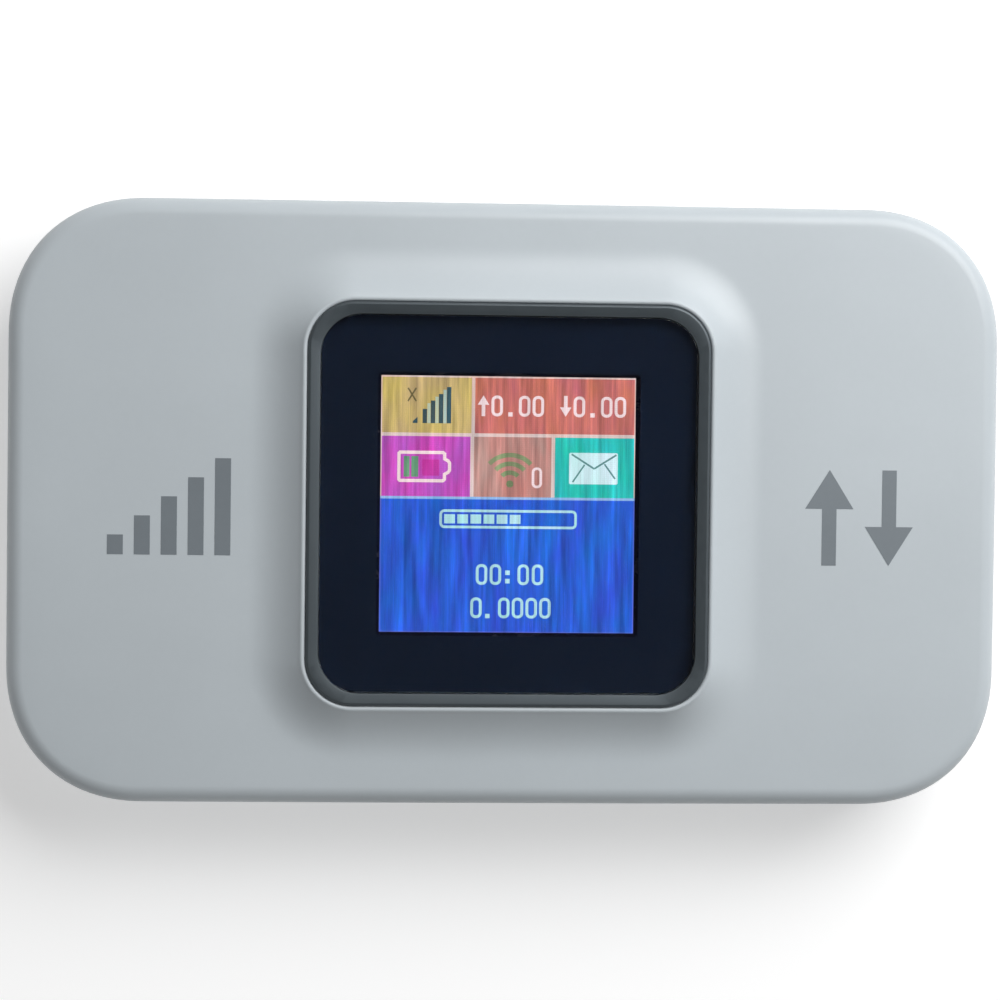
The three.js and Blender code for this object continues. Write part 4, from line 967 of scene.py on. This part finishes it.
def bar_line(start, end, width, layer=1):
    """A straight stroke between two pixel places."""
    (x0, y0), (x1, y1) = start, end
    run = math.hypot(x1 - x0, y1 - y0)
    x, y = (y0 - y1) / run * width / 2, (x1 - x0) / run * width / 2
    return corner_shape([(x0 + x, y0 + y), (x1 + x, y1 + y), (x1 - x, y1 - y), (x0 - x, y0 - y)], layer)


def fan_arc(radius):
    """An arc of the fan, which opens upwards from its foot."""
    column, row = FAN_FOOT
    piece = loop_shape(
        column - radius, row - radius, column + radius, row + radius, FAN_STROKE, radius * ARC_REACH, 16)
    edit(piece)
    for side in (-1, 1):
        select_all()
        bpy.ops.mesh.bisect(
            plane_co=(*on_panel(*FAN_FOOT), PANEL_TOP),
            plane_no=(-side * math.cos(FAN_ANGLE), math.sin(FAN_ANGLE), 0),
            use_fill=True, clear_inner=True)
    return piece


def tie(name, pieces, colour, second, streak):
    """Joins a part of the picture and gives it the two screen colours that it wanders between."""
    piece = join(pieces)
    rename(piece, name)
    finish_piece(piece, "housing", lit(name.replace("_", " ").title(), colour, second, streak))


class HOTSPOT_OT_picture(bpy.types.Operator):
    """Model the lit picture on the panel: coloured tiles with plain icons and numbers"""

    bl_idname = "hotspot.picture"
    bl_label = "Display Picture"

    def execute(self, context):
        self.lay_tiles()
        self.draw_bars()
        self.draw_cell_and_title()
        self.draw_lower_icons()
        return {"FINISHED"}

    def lay_tiles(self):
        for name, (*shades, block) in TILES.items():
            paints = [[part / 255 for part in shade] for shade in shades]
            tie(name, patches(0, block), *paints, 0.28)
        lines = patches(
            0, (0, 0, 128, 0.8), (0, 0.8, 0.5, 60.2), (127.5, 0.8, 128, 60.2), (45.4, 0.8, 47.1, 30.2),
            (0.5, 28.5, 45.4, 30.2), (47.1, 28.5, 127.5, 30.2), (45.0, 30.2, 46.8, 60.2), (85.8, 30.2, 87.6, 60.2))
        tie("picture_lines", lines, (0.92, 0.78, 0.74), (0.86, 0.8, 0.8), 0.16)
        tie("picture_rule", patches(0, (0, 60.2, 128, 61.5)), (0.66, 0.76, 0.93), (0.5, 0.72, 0.92), 0.16)
        edges = patches(0, (0, 61.5, 0.5, 127.6), (127.5, 61.5, 128, 127.6), (0, 127.6, 128, 128))
        tie("picture_edges", edges, (0.42, 0.44, 0.86), (0.3, 0.42, 0.84), 0.16)

    def draw_bars(self):
        foot = 23.7
        bars = ((20.8, 16.6), (24.9, 12.4), (28.9, 9.1), (32.9, 5.6))
        slate = [corner_shape([(15.9, foot), (15.9, 22.8), (18.3, 20.6), (18.3, foot)])]
        slate += patches(1, *((left, top, left + 2.2, foot) for left, top in bars))
        tie("picture_slate", slate, (0.26, 0.32, 0.33), (0.12, 0.33, 0.4), 0.26)
        glints = patches(1, *((left - 1.7, top + 1.4, left - 0.1, foot) for left, top in bars[1:]))
        tie("picture_glints", glints, (0.78, 0.8, 0.66), (0.66, 0.8, 0.82), 0.2)
        cross = [bar_line((13.4, 6.2), (17.5, 12.8), 0.8), bar_line((17.5, 6.2), (13.4, 12.8), 0.8)]
        tie("picture_cross", cross, (0.46, 0.42, 0.25), (0.4, 0.36, 0.24), 0.2)

    def draw_cell_and_title(self):
        white = [corner_shape(CELL_OUTLINE, stroke=1.6), nought(76.0, 45.2, wide=5.2, stroke=1.3)]
        for place, turn in ((0, 1), (6, -1)):
            left = TITLE_LEFT + place * TITLE_PITCH
            tip, neck, root = (TITLE_MIDDLE + turn * drop for drop in (-5.1, -0.4, 5.3))
            white.append(corner_shape([(left, neck), (left + 2.9, tip), (left + 5.8, neck)]))
            white += patches(1, (left + 2.0, min(neck, root), left + 3.8, max(neck, root)))
            white += [nought(left + step * TITLE_PITCH, 9.5) for step in (1, 3, 4)]
            white += patches(1, (left + 2 * TITLE_PITCH + 1.6, 17.8, left + 2 * TITLE_PITCH + 3.8, 19.9))
        tie("picture_white", white, (1.0, 0.9, 0.92), (0.95, 0.86, 0.86), 0.12)
        green = patches(INLAY, (11.6, 40.2, 14.5, 50.5), (15.4, 40.2, 18.9, 50.5))
        tie("picture_cell_bars", green, (0.46, 0.66, 0.5), (0.3, 0.5, 0.42), 0.3)
        rest = patches(INLAY, (20.9, 41.8, 29.4, 49.9))
        tie("picture_cell_rest", rest, (0.79, 0.2, 0.62), (0.72, 0.24, 0.62), 0.26)

    def draw_lower_icons(self):
        fan = [fan_arc(radius) for radius in (6.6, 11.0, 15.4)]
        fan.append(loop_shape(63.2, 51.8, 66.8, 55.4, 1.7, 1.75))
        tie("picture_fan", fan, (0.48, 0.6, 0.42), (0.58, 0.57, 0.45), 0.3)
        pale = [loop_shape(29.8, 66.6, 99.0, 76.0, 1.3, 2.5)]
        pale += patches(1, *((32.2 + 6.6 * step, 69.0, 37.6 + 6.6 * step, 73.6) for step in range(6)))
        pale += [nought(left, 93.8) for left in (48.4, 55.4, 69.4, 76.6)]
        pale += patches(1, (63.2, 96.9, 65.5, 99.2), (63.2, 101.1, 65.5, 103.4))
        pale += [nought(left, 110.5) for left in (45.8, 59.8, 66.7, 73.6, 80.5)]
        pale += patches(1, (53.3, 118.7, 55.6, 120.9))
        tie("picture_figures", pale, (0.66, 0.9, 0.9), (0.74, 0.88, 0.94), 0.14)
        tie("picture_envelope", [corner_shape(ENVELOPE_OUTLINE)], (0.78, 0.96, 0.95), (0.88, 0.95, 1.0), 0.14)
        strokes = (
            ((96.0, 38.4), (107.4, 45.6), 0.9), ((107.4, 45.6), (118.6, 38.6), 0.9),
            ((96.6, 52.4), (102.6, 43.6), 0.8), ((118.0, 50.6), (112.6, 43.2), 0.8))
        flap = [bar_line(*stroke, INLAY) for stroke in strokes]
        tie("picture_flap", flap, (0.38, 0.6, 0.58), (0.34, 0.54, 0.56), 0.14)


def lay_on(piece, target, lift):
    """Drops a flat piece straight down to just over the target and gives it half that height as thickness."""
    wrap = piece.modifiers.new("Lay", "SHRINKWRAP")
    wrap.wrap_method = "PROJECT"
    wrap.use_project_z = True
    wrap.use_negative_direction = True
    wrap.use_positive_direction = False
    wrap.target = target
    wrap.offset = lift / MM
    apply_modifiers(piece)
    edit(piece)
    select_all()
    extrude(z=lift / MM / 2)
    select_all()
    bpy.ops.mesh.normals_make_consistent(inside=False)
    bpy.ops.object.mode_set(mode="OBJECT")


def box_corners(left, low, right, high):
    return [(left, low), (right, low), (right, high), (left, high)]


class HOTSPOT_OT_shell_marks(bpy.types.Operator):
    """Print a plain grey pictogram on each side of the display"""

    bl_idname = "hotspot.shell_marks"
    bl_label = "Shell Marks"

    print_lift = 0.012
    bars_left, bars_foot, bar_pitch, bar_width = -40.4, -5.4, 2.7, 1.6
    first_bar, bar_rise = 2.0, 1.95  # height of the first bar, and what each next one adds
    arrow_places, arrow_level = ((1, 33.0), (-1, 39.2)), -1.0  # the way up or down with its place on X
    arrow_half_height, arrow_neck, arrow_half_width, stem_half_width = 4.9, 0.9, 2.5, 0.75

    def execute(self, context):
        shell = bpy.data.objects["upper_skin"]
        ink = plastic("Printed Grey", colours().mark, 0.5, mottle=0.05, depth=0.0008)
        bars = []
        for step in range(5):
            left, foot = self.bars_left + self.bar_pitch * step, self.bars_foot
            height = self.first_bar + self.bar_rise * step
            bars.append(box_corners(left, foot, left + self.bar_width, foot + height))
        arrows = []
        for way, middle in self.arrow_places:
            tip, neck, root = (
                self.arrow_level + way * rise
                for rise in (self.arrow_half_height, self.arrow_neck, -self.arrow_half_height))
            low, high = sorted((neck, root))
            half, stem = self.arrow_half_width, self.stem_half_width
            arrows.append([(middle - half, neck), (middle + half, neck), (middle, tip)])
            arrows.append(box_corners(middle - stem, low, middle + stem, high))
        for name, parts in (("mark_left", bars), ("mark_right", arrows)):
            pieces = []
            for corners in parts:
                pieces.append(start_polygon("print", corners, RING_HIGH.z))
                bpy.ops.mesh.subdivide(number_cuts=3)
            mark = join(pieces)
            rename(mark, name)
            mend(mark)
            to_metres(mark)
            lay_on(mark, shell, self.print_lift)
            dress(mark, "housing", ink)
        return {"FINISHED"}


class HOTSPOT_OT_power_button(bpy.types.Operator):
    """Model the power button with its crowned cap and its flange"""

    bl_idname = "hotspot.power_button"
    bl_label = "Power Button"

    cap_round, crown_inset, crown_depth = 0.25, 0.35, 0.05
    flange_reach, flange_thickness, flange_depth = 0.45, 0.8, 0.5
    nub_low, nub_high = (-1.5, -0.55, -0.75), (1.5, 0.55, -0.4)

    def execute(self, context):
        button = start_key_outline("power_key_cap", 0.0)
        top = KEY_HIGH.y - KEY_FOOT
        extrude(z=top)
        pick("EDGE", at_level(top))
        round_edges(self.cap_round, 5)
        pick("FACE", at_level(top))
        inset(self.cap_round)
        inset(self.crown_inset, -self.crown_depth)
        flange = start_key_outline("flange", self.flange_reach)
        extrude(z=self.flange_thickness)
        # the flange has its reach on the upper side only, because the back cover's lip is below it
        height = 2 * KEY_HALF_HEIGHT
        flange.scale = (1, (height + self.flange_reach) / (height + 2 * self.flange_reach), 1)
        flange.location = (0, -self.flange_reach / 2, -self.flange_depth)
        nub = start_block("nub", self.nub_low, self.nub_high)
        button = join([button, flange, nub])
        button.rotation_euler = (-math.pi / 2, 0, 0)
        button.location = (KEY_X, KEY_FOOT, KEY_Z)
        skin = plastic("Button White", colours().shell, 0.34, coat=0.3)
        finish_piece(button, "power_key", skin, ("power_button",))
        return {"FINISHED"}


class HOTSPOT_OT_socket(bpy.types.Operator):
    """Finish the socket's steel shell and its tongue"""

    bl_idname = "hotspot.socket"
    bl_label = "Socket"

    def execute(self, context):
        steel = metal("Socket Steel", colours().steel, 0.27, lines=(12000.0, 400.0, 12000.0))
        refine_node("usb_shell", "socket_shell", "housing", steel, 0.06)
        black = plastic("Tongue Black", colours().black, 0.5, depth=0.001)
        refine_node("usb_tongue", "socket_tongue", "housing", black, 0.06)
        return {"FINISHED"}


class HOTSPOT_OT_chassis(bpy.types.Operator):
    """Finish the inner frame and its four screws"""

    bl_idname = "hotspot.chassis"
    bl_label = "Chassis"

    def execute(self, context):
        grey = plastic("Frame Grey", colours().frame, 0.55, mottle=0.03, grain=3500.0, depth=0.003)
        refine_node("chassis_frame", "inner_frame", "housing", grey, 0.12)
        steel = metal("Screw Steel", colours().steel, 0.3, lines=(3000.0, 3000.0, 3000.0))
        for number in range(1, 5):
            refine_node(f"chassis_screw_{number}", f"frame_screw_{number}", "housing", steel, 0.05)
        return {"FINISHED"}


class HOTSPOT_OT_battery(bpy.types.Operator):
    """Finish the battery's cell, its two caps and its contact board"""

    bl_idname = "hotspot.battery"
    bl_label = "Battery"

    def execute(self, context):
        wrap = plastic("Cell Wrap", colours().cell, 0.34, mottle=0.03, smear=0.1, coat=0.3)
        black = plastic("Cap Black", colours().black, 0.45, grain=4000.0, depth=0.002)
        gold = metal("Pad Gold", colours().gold, 0.25)
        refine_node("battery_cell", "cell_wrap", "battery", wrap, 0.08)
        refine_node("battery_head_cap", "head_cap", "battery", black, 0.1)
        refine_node("battery_tail_cap", "tail_cap", "battery", black, 0.1)
        refine_node("battery_pad_board", "pad_board", "battery", gold, 0.05)
        return {"FINISHED"}


def give(finish, *nodes):
    """Puts a finish on CAD nodes that show as they are."""
    for node in nodes:
        slots = frame["nodes"][node].data.materials
        slots.clear()
        slots.append(finish)


class HOTSPOT_OT_inner_parts(bpy.types.Operator):
    """Give every inner part of the frame its own finish"""

    bl_idname = "hotspot.inner_parts"
    bl_label = "Inner Parts"

    def execute(self, context):
        paints = colours()
        contacts = [f"card_contact_{number}" for number in range(1, 7)]
        contacts += [f"battery_contact_{number}" for number in range(1, 4)]
        give(plastic("Inner Black", paints.black, 0.5, grain=4000.0),
             "power_switch_body", "reset_switch_plunger", "card_holder_base", "battery_connector")
        give(metal("Can Tin", paints.tin, 0.3, lines=(400.0, 9000.0, 9000.0), stain=0.08),
             "modem_shield", "radio_shield", "power_shield", "reset_switch_body")
        give(metal("Contact Gold", paints.gold, 0.22), "wifi_antenna", *contacts)
        give(metal("Holder Steel", paints.steel, 0.3, lines=(400.0, 9000.0, 9000.0)), "card_holder_cover")
        give(plastic("Inner White", paints.white, 0.5), "lcd_tray", "lcd_connector", "power_switch_plunger")
        give(plastic("Carrier Cream", (0.85, 0.82, 0.75), 0.55), "antenna_left", "antenna_right")
        # the black print under the lens carries painted navy glow of the lit panel
        give(plastic("Border Black", paints.border, 0.6, mottle=0.0, depth=0.0005, sheen=0.1), "lens_mask")
        give(plastic("Gasket Foam", (0.12, 0.12, 0.13), 0.95, grain=2500.0, depth=0.02),
             "lens_gasket", "lcd_foam")
        give(plastic("Panel Dark", (0.075, 0.1, 0.19), 0.25, mottle=0.0), "lcd_polariser")
        give(plastic("Panel Glass", (0.56, 0.6, 0.64), 0.1), "lcd_glass")
        give(plastic("Flex Amber", (0.72, 0.46, 0.2), 0.35), "lcd_flex")
        give(plastic("Board Green", paints.board, mottle=0.08, grain=2500.0, depth=0.004, coat=0.4), "main_board")
        give(plastic("Chip Black", (0.15, 0.15, 0.155), 0.6), "wifi_chip")
        give(plastic("Ferrite Grey", (0.3, 0.3, 0.31), 0.7, grain=3000.0, depth=0.01), "power_inductor")
        return {"FINISHED"}


FLOOR_SIDE, FLOOR_DROP = 6.0, 0.00002  # metres, the drop being below the object
GLOW_START, GLOW_FULL = 0.1, 0.45  # metres from the middle, over which the floor's glow rises to full white
LAMP_ROUND, LAMP_UP = math.radians(48), math.radians(44)  # from +X towards +Y, and up from the floor
CAMERA_PLACE = (-0.01878432, 0.00814907, 0.30060348)
CAMERA_TURN = (-1.57406, -3.57565, 0.68919)  # degrees


class HOTSPOT_OT_stage(bpy.types.Operator):
    """Set the pale floor, the room, the soft light and the camera"""

    bl_idname = "hotspot.stage"
    bl_label = "Stage"

    def execute(self, context):
        self.lay_floor()
        self.light_world()
        self.hang_lamp()
        self.set_camera()
        return {"FINISHED"}

    def lay_floor(self):
        """A white floor that takes the object's shadow, glows where it is seen and is clear from below."""
        clear_selection()
        bpy.ops.mesh.primitive_plane_add(size=FLOOR_SIDE, location=(0, 0, -FLOOR_DROP))
        floor = bpy.context.object
        floor.name = "floor"
        material = bpy.data.materials.new("Floor White")
        material.use_nodes = True
        tree = material.node_tree
        tree.nodes.clear()

        def either(first, second):
            return sums(tree, "MAXIMUM", first, second)

        rays = add(tree, "ShaderNodeLightPath").outputs
        seen = either(rays["Is Camera Ray"], either(rays["Is Glossy Ray"], rays["Is Transmission Ray"]))
        place = tree.nodes.new("ShaderNodeTexCoord").outputs["Object"]
        away = add(tree, "ShaderNodeVectorMath", {0: place}, operation="LENGTH").outputs["Value"]
        # far from the lamp the floor's own shade falls off, so its glow rises there
        glow = add(tree, "ShaderNodeMapRange", {
            "Value": away, "From Min": GLOW_START, "From Max": GLOW_FULL,
            "To Min": studio().floor_glow, "To Max": 1.0}).outputs["Result"]
        glowing = add(tree, "ShaderNodeEmission", {"Strength": sums(tree, "MULTIPLY", seen, glow)})
        shade = add(tree, "ShaderNodeBsdfDiffuse", {"Color": (0.8, 0.8, 0.8, 1.0)})
        lit_floor = add(tree, "ShaderNodeAddShader", {0: shade.outputs[0], 1: glowing.outputs[0]})
        clear = add(tree, "ShaderNodeBsdfTransparent")
        below = add(tree, "ShaderNodeNewGeometry").outputs["Backfacing"]
        unseen = either(below, either(rays["Is Diffuse Ray"], rays["Is Shadow Ray"]))
        mix = add(tree, "ShaderNodeMixShader", {0: unseen, 1: lit_floor.outputs[0], 2: clear.outputs[0]})
        end = add(tree, "ShaderNodeOutputMaterial", {"Surface": mix.outputs[0]})
        end.is_active_output = True
        floor.data.materials.append(material)

    def light_world(self):
        """A room that is brightest at eye level and below, and white where the camera sees it."""
        room = studio()
        world = bpy.data.worlds.new("Studio")
        bpy.context.scene.world = world
        world.use_nodes = True
        tree = world.node_tree
        tree.nodes.clear()
        place = tree.nodes.new("ShaderNodeTexCoord").outputs["Generated"]
        height = add(tree, "ShaderNodeSeparateXYZ", {"Vector": place}).outputs["Z"]
        ramp = tree.nodes.new("ShaderNodeValToRGB")
        tree.links.new(sums(tree, "MULTIPLY_ADD", height, 0.5, 0.5), ramp.inputs["Fac"])
        stops = [
            (0.0, room.bounce), (0.4, room.bounce), (0.5, room.horizon), (0.62, room.horizon),
            (0.85, room.upper), (0.94, room.upper * 0.85), (0.978, room.zenith), (1.0, room.zenith)]
        points = ramp.color_ramp.elements
        while len(points) < len(stops):
            points.new(0.5)
        for point, (position, value) in zip(points, stops):
            point.position = position
            point.color = (value, value, value, 1.0)
        path = add(tree, "ShaderNodeLightPath")
        bright = sums(tree, "MAXIMUM", ramp.outputs["Color"], path.outputs["Is Camera Ray"])
        sky = add(tree, "ShaderNodeBackground", {"Color": (1.0, 1.0, 1.0, 1.0), "Strength": bright})
        add(tree, "ShaderNodeOutputWorld", {"Surface": sky.outputs[0]})

    def hang_lamp(self):
        made = studio()
        level = math.cos(LAMP_UP)
        towards = Vector((level * math.cos(LAMP_ROUND), level * math.sin(LAMP_ROUND), math.sin(LAMP_UP)))
        turned = towards.to_track_quat("Z", "Y").to_euler()
        bpy.ops.object.light_add(type="AREA", location=towards * made.lamp_distance, rotation=turned)
        lamp = bpy.context.object
        lamp.name = "soft_lamp"
        lamp.data.energy = made.lamp_power
        lamp.data.size = made.lamp_size

    def set_camera(self):
        turned = [math.radians(degrees) for degrees in CAMERA_TURN]
        bpy.ops.object.camera_add(location=CAMERA_PLACE, rotation=turned)
        camera = bpy.context.object
        camera.name = "camera"
        camera.data.lens = studio().lens
        camera.data.clip_start = 0.01
        bpy.context.scene.camera = camera
        bpy.context.scene.view_settings.view_transform = "Standard"


STEPS = (
    HOTSPOT_OT_front_shell,
    HOTSPOT_OT_back_cover,
    HOTSPOT_OT_trim_ring,
    HOTSPOT_OT_lens,
    HOTSPOT_OT_picture,
    HOTSPOT_OT_shell_marks,
    HOTSPOT_OT_power_button,
    HOTSPOT_OT_socket,
    HOTSPOT_OT_chassis,
    HOTSPOT_OT_battery,
    HOTSPOT_OT_inner_parts,
    HOTSPOT_OT_stage,
)
SETTINGS = {"hotspot_sizes": HotspotSizes, "hotspot_colours": HotspotColours, "hotspot_studio": HotspotStudio}


class HOTSPOT_PT_panel(bpy.types.Panel):
    """The sizes, the colours and one button for each step"""

    bl_idname = "HOTSPOT_PT_panel"
    bl_label = "Mobile Hotspot"
    bl_space_type = "VIEW_3D"
    bl_region_type = "UI"
    bl_category = "Hotspot"

    def draw(self, context):
        for name, group in SETTINGS.items():
            section = self.layout.box()
            section.label(text=group.bl_rna.name)
            for key in group.__annotations__:
                section.prop(getattr(context.scene, name), key)
        for step in STEPS:
            self.layout.operator(step.bl_idname)


def register():
    for name, group in SETTINGS.items():
        bpy.utils.register_class(group)
        setattr(bpy.types.Scene, name, PointerProperty(type=group))
    for step in STEPS:
        bpy.utils.register_class(step)
    bpy.utils.register_class(HOTSPOT_PT_panel)


def unregister():
    bpy.utils.unregister_class(HOTSPOT_PT_panel)
    for step in reversed(STEPS):
        bpy.utils.unregister_class(step)
    for name, group in SETTINGS.items():
        delattr(bpy.types.Scene, name)
        bpy.utils.unregister_class(group)


def main():
    register()
    bpy.ops.hotspot.front_shell()
    bpy.ops.hotspot.back_cover()
    bpy.ops.hotspot.trim_ring()
    bpy.ops.hotspot.lens()
    bpy.ops.hotspot.picture()
    bpy.ops.hotspot.shell_marks()
    bpy.ops.hotspot.power_button()
    bpy.ops.hotspot.socket()
    bpy.ops.hotspot.chassis()
    bpy.ops.hotspot.battery()
    bpy.ops.hotspot.inner_parts()
    bpy.ops.hotspot.stage()


if __name__ == "__main__":
    main()
